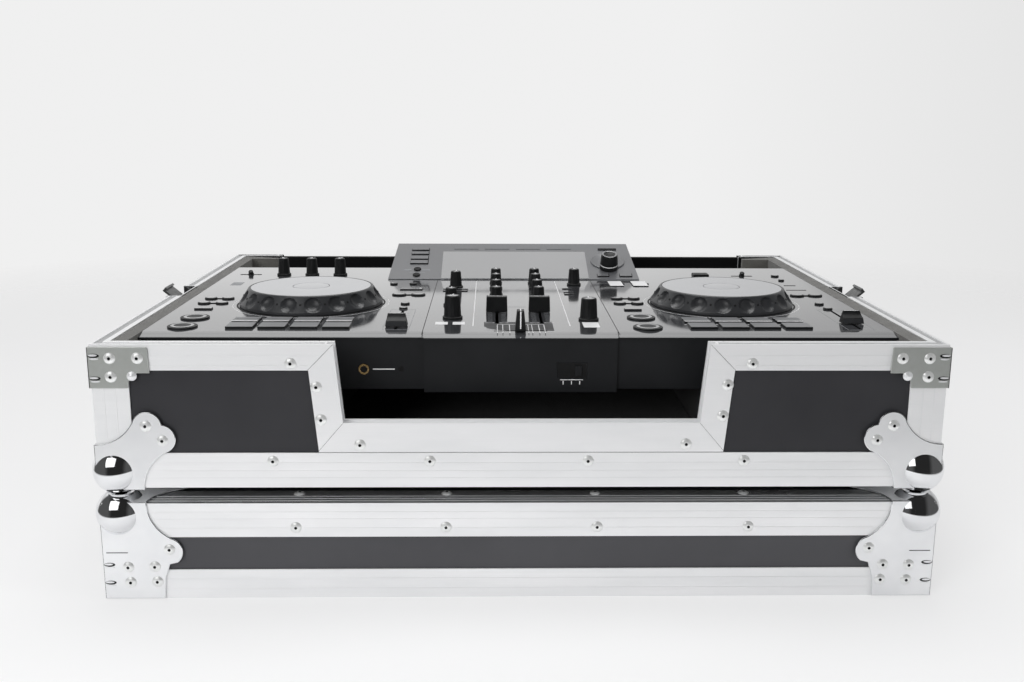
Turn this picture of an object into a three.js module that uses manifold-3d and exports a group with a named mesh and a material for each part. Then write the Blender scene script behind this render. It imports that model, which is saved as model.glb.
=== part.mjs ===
// A DJ coffin case: an open tray with a deck unit in it, standing on its own upturned lid.
// Millimetres, +Z up. The floor is Z 0, the case's middle is X 0 and Y 0, and its front faces -Y.

import * as THREE from 'three';
import { mergeVertices } from 'three/addons/utils/BufferGeometryUtils.js';
import Module from 'manifold-3d';

const wasm = await Module();
wasm.setup();

// Case sizes, over the aluminium edging
const caseWidth = 780;
const caseDepth = 590;
const lidHeight = 94.5;
const stackGap = 15.3;
const trayHeight = 136.2;

// Boards, clearances and the overrun of a cut
const boardThick = 9;
const fitGap = 0.3;
const overrun = 5;

// Aluminium extrusions
const edgeThick = 1.5;
const edgeFlange = 33.6;
const rimWidth = 14.5;
const rimWebThick = 2;
const rimInnerDrop = 14;
const grooveInset = 2.6;
const grooveWidth = 6.6;
const grooveDepth = 1.1;
const trayRimFlange = 24.5;
const lidRimFlange = 28.5;

// Trim round the front cut-out and the rear opening
const cutoutTopHalf = 171;
const cutoutFootHalf = 164;
const rearMargin = 66;
const sillRise = 62.2;
const trimJambFlange = 25.5;
const trimSillFlange = 28;
const trimInnerFlange = 14;
const trimLip = 6;

// Pressed steel corners
const plateThick = 1.5;
const ballRadius = 20.6;
const ballInset = 11.2;
const lidBallInset = 15.2;
const cornerCut = 20;
const earNear = 47.5;
const earFar = 59.5;
const earRadius = 13.7;
const earLean = 75;
const neckReach = 42;
const neckControl = 22;
const cupRadius = 13.5;
const cupLand = 1.2;
const cupConeHeight = 6.3;
const dishDepth = 1.6;
const dishMiddleShare = 0.75;
const lidBracketReach = 55.2;
const lidBracketRise = 45;
const trayBracketReach = 52.5;
const trayBracketDrop = 40.7;
const trayBracketArm = 24;
const trayBracketLeg = 33;
const trayBracketClip = 8;
const bracketEdge = 2.7;

// Butterfly latches, one at each side
const latchY = -11;
const latchWidth = 70;
const latchDrop = 42;
const latchDepth = 14;
const latchSheet = 1.5;
const latchFlange = 5;
const keeperRise = 36;
const keeperBarRise = 8;
const keeperBarThick = 3;
const clawWidth = 30;
const clawLength = 19;
const clawThick = 2.5;
const clawHook = 4;
const clawLean = 50;
const clawDrop = 9;
const clawInset = 3;
const clawBarrelRadius = 2.5;
const clawPinRadius = 1.5;
const wingDrop = 25;
const wingReach = 12.5;
const wingThick = 5;
const wingBaseRadius = 9;
const wingBaseThick = 3;
const wingHeight = 7;
const wingShaftRadius = 3;

// Spring handles, one at each side
const handleLength = 140;
const handlePlateThick = 2;
const handleLift = 2.6;
const earLength = 9;
const earMargin = 4.1;
const earHeight = 12;
const earReach = 13;
const bailPlay = 0.9;
const bailFootGap = 8.4;
const bailLegRadius = 4;
const bailGripRadius = 6;
const bailPinRadius = 3;
const bailPivotDrop = 8;

// Foam
const liningThick = 10;
const bedThick = 8;
const riserWidth = 178;
const blockClearance = 25;
const rearBlockWidth = 90;
const foamShy = 0.6;
const blockDrop = 16;
const rearBlockDrop = 31;
const padWidth = 62;

// Deck unit
const unitMargin = 26;
const unitRear = 106.2;
const unitHeight = 54;
const unitSetback = 56.8;
const deckDrop = 3;
const deckThick = 5;
const deckBevelRun = 15;
const deckBevelDrop = 3;
const chassisInset = 1.5;
const unitWall = 2.5;
const circuitThick = 1.6;
const circuitGap = 4;
const bossRadius = 4;
const bossHeight = 8;
const bossInset = 14;
const centreHalf = 92.9;
const centreProud = 3;
const centreDrop = 2.6;
const centreDepth = 30;
const deckFromSide = 135.4;
const jogShift = 3.1;
const jogBack = 165.2;
const jogTopRadius = 67.5;
const jogSkirtRadius = 77.5;
const jogHeight = 19;
const jogLip = 3;
const jogHubRadius = 12;
const housingFrontShare = 0.4313;
const housingBackShare = 0.4148;
const housingDepth = 97;
const housingBackGap = 1.8;
const housingRise = 32.5;
const housingLip = 0.8;

// Faders: how wide, long and high a cap is, its travel, and where it stands now
const slotWidth = 3;
const stemThick = 2;
const stemLength = 6;
const capClearance = 0.8;
const tempo = { wide: 22.7, long: 14, high: 12, travel: 92, fromFront: 71.2, fromDeck: 106.8 };
const tempoNow = { left: 35.2, right: 55.2 };
const fader = { wide: 22.5, long: 10, high: 16, travel: 60, fromFront: 86.2, fromCentre: 22.5 };
const cross = { wide: 10, long: 14, high: 17, travel: 45, fromFront: 16.2 };

// Knobs with their own node
const knobHeight = 22;
const knobFootRadius = 7.6;
const knobTopRadius = 6.4;
const knobCollarRadius = 8.8;
const knobCollarHeight = 2.5;
const knobShaftRadius = 3;
const backKnobFromSide = 71.6;
const backKnobPitch = 35.7;
const backKnobFromBack = 63.6;
const selectorFromSide = 35.6;
const selectorUp = 29.4;
const selectorHeight = 21;
const selectorRadius = 10.5;
const selectorTopRadius = 10.2;
const selectorCollarRadius = 11.8;

// Facet counts
const roundSteps = 20;
const jogSteps = 32;
const knobSteps = 16;
const arcSteps = 5;

// Places worked out from the sizes above
const halfX = caseWidth / 2;
const halfY = caseDepth / 2;
const trayBottom = lidHeight + stackGap;
const rimTop = trayBottom + trayHeight;
const boardOut = edgeThick + fitGap;
const boardIn = boardOut + boardThick;
const innerInset = boardIn + fitGap;
const trayFloorTop = trayBottom + boardIn;
const lidCeiling = lidHeight - boardIn;
const sillTop = trayBottom + sillRise;
const deckTop = rimTop - deckDrop;
const unitFoot = deckTop - unitHeight;
const rearHalf = halfX - rearMargin;
const unitHalf = halfX - unitMargin;
const unitFront = -halfY + unitSetback;
const unitBack = halfY - unitRear;
const deckMiddle = unitHalf - deckFromSide;
const deckUnder = deckTop - deckThick;
const plateOut = -(fitGap + plateThick);

// Material colours
const finishes = {
  aluminium: { color: 0xd8dadc, roughness: 0.32, metalness: 0.9 },
  chrome: { color: 0xdfe2e4, roughness: 0.08, metalness: 1 },
  zinc: { color: 0xa3a6a4, roughness: 0.4, metalness: 0.9 },
  laminate: { color: 0x454547, roughness: 0.6, metalness: 0 },
  lidLaminate: { color: 0x5b5b5e, roughness: 0.6, metalness: 0 },
  foam: { color: 0x55565a, roughness: 1, metalness: 0 },
  board: { color: 0x2f5d3a, roughness: 0.5, metalness: 0 },
  unit: { color: 0x232527, roughness: 0.45, metalness: 0 },
  deck: { color: 0x2c2e31, roughness: 0.2, metalness: 0.2 },
  housing: { color: 0x6f7173, roughness: 0.35, metalness: 0.2 },
  jog: { color: 0xb9bbbf, roughness: 0.3, metalness: 0.6 },
  knob: { color: 0x151617, roughness: 0.5, metalness: 0 },
};

// Solid helpers
function toSolid(geometry) {
  const bare = geometry.clone();
  bare.deleteAttribute('normal');
  bare.deleteAttribute('uv');
  const merged = mergeVertices(bare);
  return new wasm.Manifold(new wasm.Mesh({
    numProp: 3,
    vertProperties: new Float32Array(merged.attributes.position.array),
    triVerts: new Uint32Array(merged.index.array),
  }));
}

function toGeometry(solid) {
  const mesh = solid.getMesh();
  const geometry = new THREE.BufferGeometry();
  geometry.setAttribute('position', new THREE.BufferAttribute(mesh.vertProperties, 3));
  geometry.setIndex(new THREE.BufferAttribute(mesh.triVerts, 1));
  return geometry;
}

function joined(solids) {
  return solids.reduce((sum, solid) => sum.add(solid));
}

function cutBy(solid, cutters) {
  return cutters.reduce((rest, cutter) => rest.subtract(cutter), solid);
}

function span(a, b) {
  return [Math.min(a, b), Math.max(a, b)];
}

function centred(middle, size) {
  return [middle - size / 2, middle + size / 2];
}

function block(x, y, z) {
  const geometry = new THREE.BoxGeometry(x[1] - x[0], y[1] - y[0], z[1] - z[0]);
  geometry.translate((x[0] + x[1]) / 2, (y[0] + y[1]) / 2, (z[0] + z[1]) / 2);
  return toSolid(geometry);
}

const bases = {
  x: [new THREE.Vector3(0, 1, 0), new THREE.Vector3(0, 0, 1), new THREE.Vector3(1, 0, 0)],
  y: [new THREE.Vector3(1, 0, 0), new THREE.Vector3(0, 0, 1), new THREE.Vector3(0, -1, 0)],
  z: [new THREE.Vector3(1, 0, 0), new THREE.Vector3(0, 1, 0), new THREE.Vector3(0, 0, 1)],
};

// A shape pushed along X, Y or Z: its own axes are Y Z, X Z or X Y
function prism(shape, along, range) {
  const depth = range[1] - range[0];
  const geometry = new THREE.ExtrudeGeometry(shape, { depth, bevelEnabled: false, curveSegments: arcSteps });
  geometry.applyMatrix4(new THREE.Matrix4().makeBasis(...bases[along]));
  const start = along === 'y' ? range[1] : range[0];
  geometry.translate(along === 'x' ? start : 0, along === 'y' ? start : 0, along === 'z' ? start : 0);
  return toSolid(geometry);
}

function polygon(points) {
  return new THREE.Shape(points.map(([a, b]) => new THREE.Vector2(a, b)));
}

// A round bar along X, Y or Z through a point
function bar(along, centre, radius, range, steps = roundSteps) {
  const geometry = new THREE.CylinderGeometry(radius, radius, range[1] - range[0], steps);
  if (along === 'x') geometry.rotateZ(Math.PI / 2);
  if (along === 'z') geometry.rotateX(Math.PI / 2);
  const middle = (range[0] + range[1]) / 2;
  geometry.translate(
    along === 'x' ? middle : centre[0],
    along === 'y' ? middle : centre[1],
    along === 'z' ? middle : centre[2],
  );
  return toSolid(geometry);
}

// A turned shape round Z, from points of radius and height that start and end on the axis
function turned(points, steps) {
  const geometry = new THREE.LatheGeometry(points.map(([r, z]) => new THREE.Vector2(r, z)), steps);
  geometry.rotateX(Math.PI / 2);
  return toSolid(geometry);
}

function moved(solid, matrix, flip = false) {
  const geometry = toGeometry(solid);
  geometry.applyMatrix4(matrix);
  if (flip) {
    const index = geometry.index.array;
    for (let i = 0; i < index.length; i += 3) [index[i], index[i + 1]] = [index[i + 1], index[i]];
  }
  return toSolid(geometry);
}

function shifted(solid, x, y, z) {
  return moved(solid, new THREE.Matrix4().makeTranslation(x, y, z));
}

// The case's own helpers: insets are counted inwards from the outside of the edging
function sideSpan(side, insetOut, insetIn) {
  return span(side * (halfX - insetOut), side * (halfX - insetIn));
}

function endSpan(end, insetOut, insetIn) {
  return span(end * (halfY - insetOut), end * (halfY - insetIn));
}

function across(inset) {
  return [-halfX + inset, halfX - inset];
}

function along(inset) {
  return [-halfY + inset, halfY - inset];
}

function frameRing(insetOut, insetIn, z) {
  const outer = block(across(insetOut), along(insetOut), z);
  return outer.subtract(block(across(insetIn), along(insetIn), [z[0] - overrun, z[1] + overrun]));
}

const corners = [
  { name: 'front_left', x: -1, y: -1 },
  { name: 'front_right', x: 1, y: -1 },
  { name: 'back_left', x: -1, y: 1 },
  { name: 'back_right', x: 1, y: 1 },
];
const sides = [
  { name: 'left', x: -1 },
  { name: 'right', x: 1 },
];

// Moves a piece made in corner insets to a corner of the tray's foot or the lid's top
function atCorner(solid, corner, face, up) {
  const matrix = new THREE.Matrix4().makeTranslation(corner.x * halfX, corner.y * halfY, face);
  matrix.multiply(new THREE.Matrix4().makeScale(-corner.x, -corner.y, up));
  return moved(solid, matrix, corner.x * corner.y * up < 0);
}

function cornerCuts(face, up) {
  const cube = block([-overrun, cornerCut], [-overrun, cornerCut], [-overrun, cornerCut]);
  return corners.map((corner) => atCorner(cube, corner, face, up));
}

// Edging: an angle round the foot or the top, with a post up each corner
function edging(face, up, postEnd) {
  const flange = frameRing(0, edgeThick, span(face, face + up * edgeFlange));
  const foot = frameRing(0, edgeFlange, span(face, face + up * edgeThick));
  const posts = corners.map((corner) => {
    const z = span(face + up * edgeThick, postEnd);
    const across = block(sideSpan(corner.x, 0, edgeFlange), endSpan(corner.y, 0, edgeThick), z);
    return across.add(block(sideSpan(corner.x, 0, edgeThick), endSpan(corner.y, 0, edgeFlange), z));
  });
  return cutBy(joined([flange, foot, ...posts]), cornerCuts(face, up));
}

// Rim: a channel over the boards' edges, its web at the face
function rimChannel(face, up, flange) {
  const outer = frameRing(0, edgeThick, span(face, face + up * flange));
  const web = frameRing(0, rimWidth, span(face, face + up * rimWebThick));
  const inner = frameRing(innerInset, rimWidth, span(face, face + up * rimInnerDrop));
  return joined([outer, web, inner]);
}

// The tray's rim has a groove along its top that the lid's rim beds into
function groovedChannel() {
  const groove = frameRing(grooveInset, grooveInset + grooveWidth, [rimTop - grooveDepth, rimTop + overrun]);
  return cutBy(rimChannel(rimTop, -1, trayRimFlange), [groove]);
}

// Boards of the tray and the lid
function endBoard(end, z) {
  return block(across(boardOut), endSpan(end, boardOut, boardIn), z);
}

function sideBoard(side, z) {
  return block(sideSpan(side, boardOut, boardIn), along(innerInset), z);
}

function floorBoard(z) {
  return block(across(innerInset), along(innerInset), z);
}

const trayBoardZ = [trayBottom + boardOut, rimTop - rimWebThick - fitGap];
const lidBoardZ = [rimWebThick + fitGap, lidHeight - boardOut];

// Openings in the tray: an outline set outwards from the tips of the trim's flanges
function openingShape(topHalf, footHalf, jambOut, sillOut, top) {
  const slope = (topHalf - footHalf) / (rimTop - sillTop);
  const foot = sillTop - sillOut;
  const halfAt = (z) => footHalf + slope * (z - sillTop) + jambOut;
  return polygon([
    [-halfAt(foot), foot],
    [halfAt(foot), foot],
    [halfAt(top), top],
    [-halfAt(top), top],
  ]);
}

function openingBand(opening, inner, outerJamb, outerSill, y) {
  const outer = prism(openingShape(...opening, outerJamb, outerSill, rimTop), 'y', y);
  const wide = [y[0] - overrun, y[1] + overrun];
  return outer.subtract(prism(openingShape(...opening, inner, inner, rimTop + overrun), 'y', wide));
}

// Trim: an H section whose web stands back from the tips, so that a cover can slide in it
function openingTrim(opening, end, grow) {
  const face = openingBand(opening, 0, trimJambFlange + grow, trimSillFlange + grow,
    endSpan(end, 0, edgeThick + grow));
  const webEnd = trimLip + rimWebThick + grow;
  const web = openingBand(opening, trimLip, webEnd, webEnd, endSpan(end, 0, rimWidth));
  const backEnd = trimInnerFlange + grow;
  const back = openingBand(opening, 0, backEnd, backEnd, endSpan(end, innerInset - grow, rimWidth));
  return joined([face, web, back]);
}

// The front rim's face meets the jamb's in a mitre: the wedge outside it belongs to the rim
function mitreWedge(side, clearance, insetTo) {
  const slope = (cutoutTopHalf - cutoutFootHalf) / (rimTop - sillTop);
  const foot = rimTop - trayRimFlange - clearance;
  const inner = cutoutTopHalf + clearance;
  const outer = cutoutFootHalf + slope * (foot - sillTop) + trimJambFlange + clearance;
  const lean = (outer - inner) / (rimTop - foot);
  const far = outer + overrun;
  const shape = polygon([
    [side * (inner - lean * overrun), rimTop + overrun],
    [side * outer, foot],
    [side * far, foot],
    [side * far, rimTop + overrun],
  ]);
  return prism(shape, 'y', endSpan(-1, -overrun, insetTo));
}

function frontTrim() {
  const wedges = sides.map(({ x }) => mitreWedge(x, 0, edgeThick + fitGap));
  return cutBy(openingTrim(frontOpening, -1, 0), wedges);
}

function boardOpening(opening, end) {
  const out = trimLip + rimWebThick + fitGap;
  const shape = openingShape(...opening, out, out, rimTop + overrun);
  return prism(shape, 'y', endSpan(end, boardOut - overrun, boardIn + overrun));
}

const frontOpening = [cutoutTopHalf, cutoutFootHalf];
const rearOpening = [rearHalf, rearHalf];

// Room for a latch: the whole wall on the tray, the outer part of it on the lid
function latchRoom(side, insetIn, z) {
  const half = latchWidth / 2;
  return block(sideSpan(side, -overrun, insetIn), [latchY - half, latchY + half], z);
}

function trayLatchRoom(side) {
  return latchRoom(side, rimWidth + overrun, [rimTop - latchDrop, rimTop + overrun]);
}

function lidLatchRoom(side) {
  return latchRoom(side, innerInset, [-overrun, keeperRise]);
}

// Behind its face, the rim stops at the web of an opening's trim
function doorway(opening, end, faceOut) {
  const out = trimLip + rimWebThick;
  const face = openingShape(...opening, faceOut, faceOut, rimTop + overrun);
  const behind = openingShape(...opening, out, out, rimTop + overrun);
  const facePlane = prism(face, 'y', endSpan(end, -overrun, edgeThick));
  return facePlane.add(prism(behind, 'y', endSpan(end, edgeThick, rimWidth + overrun)));
}

// Tray rim pieces: the front ones stop at the front trim, the back one carries the rear trim
function trayRimFront(side) {
  const rim = groovedChannel();
  const quarterY = [-halfY - overrun, latchY];
  const quarter = block(sideSpan(side, -overrun, halfX), quarterY, [trayBottom, rimTop + overrun]);
  const trim = openingTrim(frontOpening, -1, fitGap).subtract(mitreWedge(side, fitGap, edgeThick));
  return cutBy(rim.intersect(quarter), [doorway(frontOpening, -1, 0), trim, trayLatchRoom(side)]);
}

function trayRimBack() {
  const rim = groovedChannel();
  const half = block(across(-overrun), [latchY, halfY + overrun], [trayBottom, rimTop + overrun]);
  const open = rim.intersect(half).subtract(doorway(rearOpening, 1, trimLip));
  return cutBy(open.add(openingTrim(rearOpening, 1, 0)), sides.map(({ x }) => trayLatchRoom(x)));
}

// Pressed corner: a ball with three eared plates, made in insets from the three faces
function cornerPlateShape() {
  const start = plateOut;
  const lean = THREE.MathUtils.degToRad(earLean);
  const farX = earFar + earRadius * Math.cos(lean);
  const nearY = earNear - earRadius * Math.sin(lean);
  const meet = Math.acos((earFar - earNear) / Math.SQRT2 / earRadius);
  const shape = new THREE.Shape();
  shape.moveTo(start, start);
  shape.lineTo(neckReach, start);
  shape.quadraticCurveTo(neckReach, neckControl, farX, nearY);
  shape.absarc(earFar, earNear, earRadius, -lean, Math.PI * 0.75 - meet, false);
  shape.absarc(earNear, earFar, earRadius, meet - Math.PI / 4, Math.PI / 2 + lean, false);
  shape.quadraticCurveTo(neckControl, neckReach, start, neckReach);
  shape.closePath();
  return shape;
}

function ballArc(first) {
  const rings = roundSteps / 2;
  const points = [];
  for (let i = 0; i < rings; i += 1) {
    const angle = first + ((Math.PI / 2 - first) * i) / rings;
    points.push([ballRadius * Math.cos(angle), ballRadius * Math.sin(angle)]);
  }
  return [...points, [0, ballRadius]];
}

function plainBall() {
  const points = [[0, -ballRadius], ...ballArc(-Math.PI / 2).slice(1)];
  return shifted(turned(points, roundSteps), ballInset, ballInset, ballInset);
}

// The lid's ball has a cup on top, and the tray's ball stands in its dish
function cuppedBall() {
  const rim = -(stackGap + ballInset - ballRadius - fitGap + dishDepth) - lidBallInset;
  const first = Math.asin((rim + cupConeHeight) / ballRadius);
  const dish = [
    [0, rim + dishDepth],
    [(cupRadius - cupLand) / 2, rim + dishDepth * dishMiddleShare],
    [cupRadius - cupLand, rim],
    [cupRadius, rim],
  ];
  return shifted(turned([...dish, ...ballArc(first)], roundSteps), ballInset, ballInset, lidBallInset);
}

function cornerPlates() {
  const shape = cornerPlateShape();
  return ['x', 'y', 'z'].map((axis) => prism(shape, axis, [plateOut, -fitGap]));
}

function bodyZone() {
  const far = caseDepth / 2;
  const inside = block([-fitGap, far], [-fitGap, far], [-fitGap, far]);
  const room = [-fitGap - overrun, cornerCut - fitGap];
  return inside.subtract(block(room, room, room));
}

function pressedCorner(ball, depth, extras) {
  const start = plateOut - overrun;
  const tip = block([start, ballInset], [start, ballInset], [start, depth]).subtract(ball);
  const plates = joined([...cornerPlates(), ...extras]).subtract(tip);
  return ball.subtract(bodyZone()).add(plates);
}

function lidCornerBracket() {
  const w = [lidHeight - lidBracketRise, lidHeight - fitGap];
  const reach = [plateOut, lidBracketReach];
  const skin = [plateOut, -fitGap];
  return [block(reach, skin, w), block(skin, reach, w)];
}

function lidCorner(corner) {
  return atCorner(pressedCorner(cuppedBall(), lidBallInset, lidCornerBracket()), corner, lidHeight, -1);
}

function trayCorner(corner) {
  return atCorner(pressedCorner(plainBall(), ballInset, []), corner, trayBottom, 1);
}

function trayBracket(corner) {
  const shape = polygon([
    [plateOut, bracketEdge],
    [trayBracketReach, bracketEdge],
    [trayBracketReach, trayBracketArm + bracketEdge],
    [trayBracketLeg + trayBracketClip, trayBracketArm + bracketEdge],
    [trayBracketLeg, trayBracketArm + bracketEdge + trayBracketClip],
    [trayBracketLeg, trayBracketDrop],
    [plateOut, trayBracketDrop],
  ]);
  const skin = [plateOut, -fitGap];
  const legs = prism(shape, 'y', skin).add(prism(shape, 'x', skin));
  return atCorner(legs, corner, rimTop, -1);
}

// Latch: a pan with a flange round it, a leaning claw and a turning wing
function latchPan(side, depth, z, open) {
  const half = latchWidth / 2 - fitGap;
  const y = [latchY - half, latchY + half];
  const hollowY = [y[0] + latchSheet, y[1] - latchSheet];
  const closed = open > 0 ? z[0] + latchSheet : z[0] - overrun;
  const closedTop = open > 0 ? z[1] + overrun : z[1] - latchSheet;
  const shell = block(sideSpan(side, plateOut, depth), y, z);
  const hollow = block(sideSpan(side, plateOut - overrun, depth - latchSheet), hollowY, [closed, closedTop]);
  const flangeY = [y[0] - latchFlange, y[1] + latchFlange];
  const flangeZ = open > 0 ? [z[0] - latchFlange, z[1]] : [z[0], z[1] + latchFlange];
  const flange = block(sideSpan(side, plateOut, -fitGap), flangeY, flangeZ);
  return shell.add(flange).subtract(hollow);
}

const clawPivotZ = rimTop - clawDrop;
const wingZ = rimTop - wingDrop;
const clawPivotX = halfX - clawInset;

function latchDish(side) {
  const pan = latchPan(side, latchDepth, [rimTop - latchDrop + fitGap, rimTop], 1);
  const pinHole = bar('y', [side * clawPivotX, 0, clawPivotZ], clawPinRadius + fitGap,
    [latchY - latchWidth / 2, latchY + latchWidth / 2]);
  const through = sideSpan(side, latchDepth - latchSheet - fitGap, latchDepth + overrun);
  const shaftHole = bar('x', [0, latchY, wingZ], wingShaftRadius + fitGap, through);
  return cutBy(pan, [pinHole, shaftHole]);
}

function latchKeeper(side) {
  const pan = latchPan(side, boardIn, [fitGap, keeperRise - fitGap], -1);
  const half = latchWidth / 2 - latchSheet;
  const barZ = [keeperBarRise, keeperBarRise + keeperBarThick];
  return pan.add(block(sideSpan(side, fitGap, keeperBarThick), [latchY - half, latchY + half], barZ));
}

function latchClaw(side) {
  const wide = centred(0, clawWidth);
  const arm = block(centred(0, clawThick), wide, [0, clawLength]);
  const hook = block([-clawThick / 2, clawHook], wide, [clawLength - clawThick, clawLength]);
  const turn = new THREE.Matrix4().makeTranslation(side * clawPivotX, latchY, clawPivotZ);
  turn.multiply(new THREE.Matrix4().makeRotationY(THREE.MathUtils.degToRad(side * clawLean)));
  turn.multiply(new THREE.Matrix4().makeScale(-side, 1, 1));
  const blade = moved(arm.add(hook), turn, side > 0);
  const barrelHalf = latchWidth / 2 - 2 * fitGap - latchSheet;
  const pinHalf = latchWidth / 2 - fitGap;
  const centre = [side * clawPivotX, 0, clawPivotZ];
  const barrel = bar('y', centre, clawBarrelRadius, [latchY - barrelHalf, latchY + barrelHalf], knobSteps);
  const pin = bar('y', centre, clawPinRadius, [latchY - pinHalf, latchY + pinHalf], knobSteps);
  return joined([blade, barrel, pin]);
}

function latchWing(side) {
  const back = latchDepth - latchSheet - fitGap;
  const baseFront = back - wingBaseThick;
  const centre = [0, latchY, wingZ];
  const base = bar('x', centre, wingBaseRadius, sideSpan(side, baseFront, back));
  const shaft = bar('x', centre, wingShaftRadius, sideSpan(side, baseFront, latchDepth));
  const tabX = sideSpan(side, baseFront - wingHeight, back);
  const tab = block(tabX, centred(latchY, wingThick), [wingZ - wingReach, wingZ + wingReach]);
  return joined([base, shaft, tab]);
}

// Handle: a plate with two ears and a bail that hangs from them
const handleZ = [trayBottom + edgeFlange + handleLift, rimTop - latchDrop - latchFlange - handleLift];
const handleFace = edgeThick - handlePlateThick;
const bailPivotZ = handleZ[1] - bailPivotDrop;
const bailInset = handleFace - fitGap - bailGripRadius;
const bailPivotX = halfX - bailInset;
const bailDrop = bailPivotZ - handleZ[0] - bailFootGap;
const earOut = handleLength / 2 - earMargin;
const earIn = earOut - earLength;
const bailHalf = earIn - bailPlay - bailLegRadius;

function handlePlate(side) {
  const half = handleLength / 2;
  const plate = block(sideSpan(side, handleFace, edgeThick), [latchY - half, latchY + half], handleZ);
  const ears = [-1, 1].map((end) => {
    const y = span(latchY + end * earIn, latchY + end * earOut);
    const z = [bailPivotZ - earHeight / 2, bailPivotZ + earHeight / 2];
    return block(sideSpan(side, handleFace - earReach, edgeThick), y, z);
  });
  const through = centred(latchY, handleLength + overrun);
  const hole = bar('y', [side * bailPivotX, 0, bailPivotZ], bailPinRadius + fitGap, through);
  return joined([plate, ...ears]).subtract(hole);
}

function handleBail(side) {
  const x = side * bailPivotX;
  const legs = [-1, 1].map((end) => {
    const y = latchY + end * bailHalf;
    return bar('z', [x, y, 0], bailLegRadius, [bailPivotZ - bailDrop, bailPivotZ + bailLegRadius], knobSteps);
  });
  const gripY = centred(latchY, 2 * (bailHalf + bailLegRadius));
  const grip = bar('y', [x, 0, bailPivotZ - bailDrop], bailGripRadius, gripY, knobSteps);
  const pins = [-1, 1].map((end) => {
    const y = span(latchY + end * bailHalf, latchY + end * (earOut - earMargin / 2));
    return bar('y', [x, 0, bailPivotZ], bailPinRadius, y, knobSteps);
  });
  return joined([...legs, grip, ...pins]);
}

// Foam: a bed with two risers under the unit, and a surround with blocks in the corners
const foamSide = unitHalf + fitGap;
const foamTop = deckTop;
const stripTop = rimTop - foamShy;
const blockInner = cutoutTopHalf + trimInnerFlange + blockClearance;

function foamBed() {
  const y = [unitFront, unitBack];
  const z = [trayFloorTop + fitGap, trayFloorTop + fitGap + bedThick];
  const sheet = block([-unitHalf, unitHalf], y, z);
  const risers = sides.map(({ x }) => {
    return block(span(x * (unitHalf - riserWidth), x * unitHalf), y, [z[0], unitFoot - fitGap]);
  });
  return joined([sheet, ...risers]);
}

function foamSurround() {
  const low = trayFloorTop + fitGap;
  const skirtZ = [low, sillTop - trimInnerFlange - fitGap];
  const outerY = [-halfY + innerInset, halfY - innerInset];
  const pieces = sides.map(({ x }) => {
    const strip = block(span(x * foamSide, x * (halfX - innerInset)), outerY, [low, stripTop]);
    const frontX = span(x * blockInner, x * (halfX - innerInset));
    const front = block(frontX, [outerY[0], unitFront - fitGap], [low, foamTop - blockDrop]);
    const rearY = [unitBack + fitGap, outerY[1]];
    const rearX = span(x * (halfX - rearBlockWidth), x * (halfX - innerInset));
    const rear = block(rearX, rearY, [low, foamTop - rearBlockDrop]);
    const padY = endSpan(1, rimWidth + fitGap, rimWidth + fitGap + liningThick);
    const pad = block(span(x * (halfX - padWidth), x * (halfX - innerInset)), padY, [low, stripTop]);
    return joined([strip, front, rear, pad]);
  });
  const skirts = [-1, 1].map((end) => {
    return block(across(innerInset), endSpan(end, innerInset, innerInset + liningThick), skirtZ);
  });
  const rimZ = [rimTop - rimInnerDrop - fitGap, rimTop];
  const rimRoom = frameRing(innerInset - overrun, rimWidth + fitGap, rimZ);
  const latchZ = [rimTop - latchDrop - fitGap, rimTop];
  const latchRooms = sides.map(({ x }) => latchRoom(x, latchDepth + fitGap, latchZ));
  const rearZ = [sillTop - trimInnerFlange - fitGap, rimTop];
  const rearReach = rearHalf + trimInnerFlange + fitGap;
  const rearRoom = block([-rearReach, rearReach], endSpan(1, 0, rimWidth + fitGap), rearZ);
  return cutBy(joined([...pieces, ...skirts]), [rimRoom, rearRoom, ...latchRooms]);
}

function lidLining() {
  const z = [lidCeiling - fitGap - liningThick, lidCeiling - fitGap];
  return block(across(innerInset), along(innerInset), z);
}

// Rear panel: a board that drops into the rear trim
function rearPanel() {
  const half = rearHalf + trimLip - fitGap;
  const z = [sillTop - trimLip + fitGap, rimTop - rimWebThick];
  return block([-half, half], endSpan(1, boardOut, boardIn), z);
}

// Deck unit: a hollow chassis with a circuit board in it, a slotted top plate and a tilted display
function shell(x, y, foot, top) {
  const hollow = block(
    [x[0] + unitWall, x[1] - unitWall],
    [y[0] + unitWall, y[1] - unitWall],
    [unitFoot + unitWall, top + overrun],
  );
  return [block(x, y, [foot, top]), hollow];
}

const chassisHalf = unitHalf - chassisInset;
const chassisY = [unitFront + chassisInset, unitBack - chassisInset];
const chassisFloor = unitFoot + unitWall;

function unitChassis() {
  const top = deckUnder - fitGap;
  const bowY = [chassisY[0] - centreProud, chassisY[0] + centreDepth];
  const [body, bodyHollow] = shell([-chassisHalf, chassisHalf], chassisY, unitFoot, top);
  const [bow, bowHollow] = shell([-centreHalf, centreHalf], bowY, unitFoot - centreDrop, top);
  const bossZ = [unitFoot, chassisFloor + bossHeight];
  const bosses = boardBosses().map(([x, y]) => bar('z', [x, y, 0], bossRadius, bossZ, knobSteps));
  return joined([cutBy(body.add(bow), [bodyHollow, bowHollow]), ...bosses]);
}

// The circuit board stands on six bosses, clear of the shafts above it
function boardBosses() {
  const middle = (unitFront + unitBack) / 2;
  const back = chassisY[1] - unitWall - bossInset - middle;
  const side = chassisHalf - unitWall - bossInset;
  return [-side, 0, side].flatMap((x) => [[x, middle - back], [x, middle + back]]);
}

function unitBoard() {
  const half = chassisHalf - unitWall - circuitGap;
  const y = [chassisY[0] + unitWall + circuitGap, chassisY[1] - unitWall - circuitGap];
  const foot = chassisFloor + bossHeight + fitGap;
  return block([-half, half], y, [foot, foot + circuitThick]);
}

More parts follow.
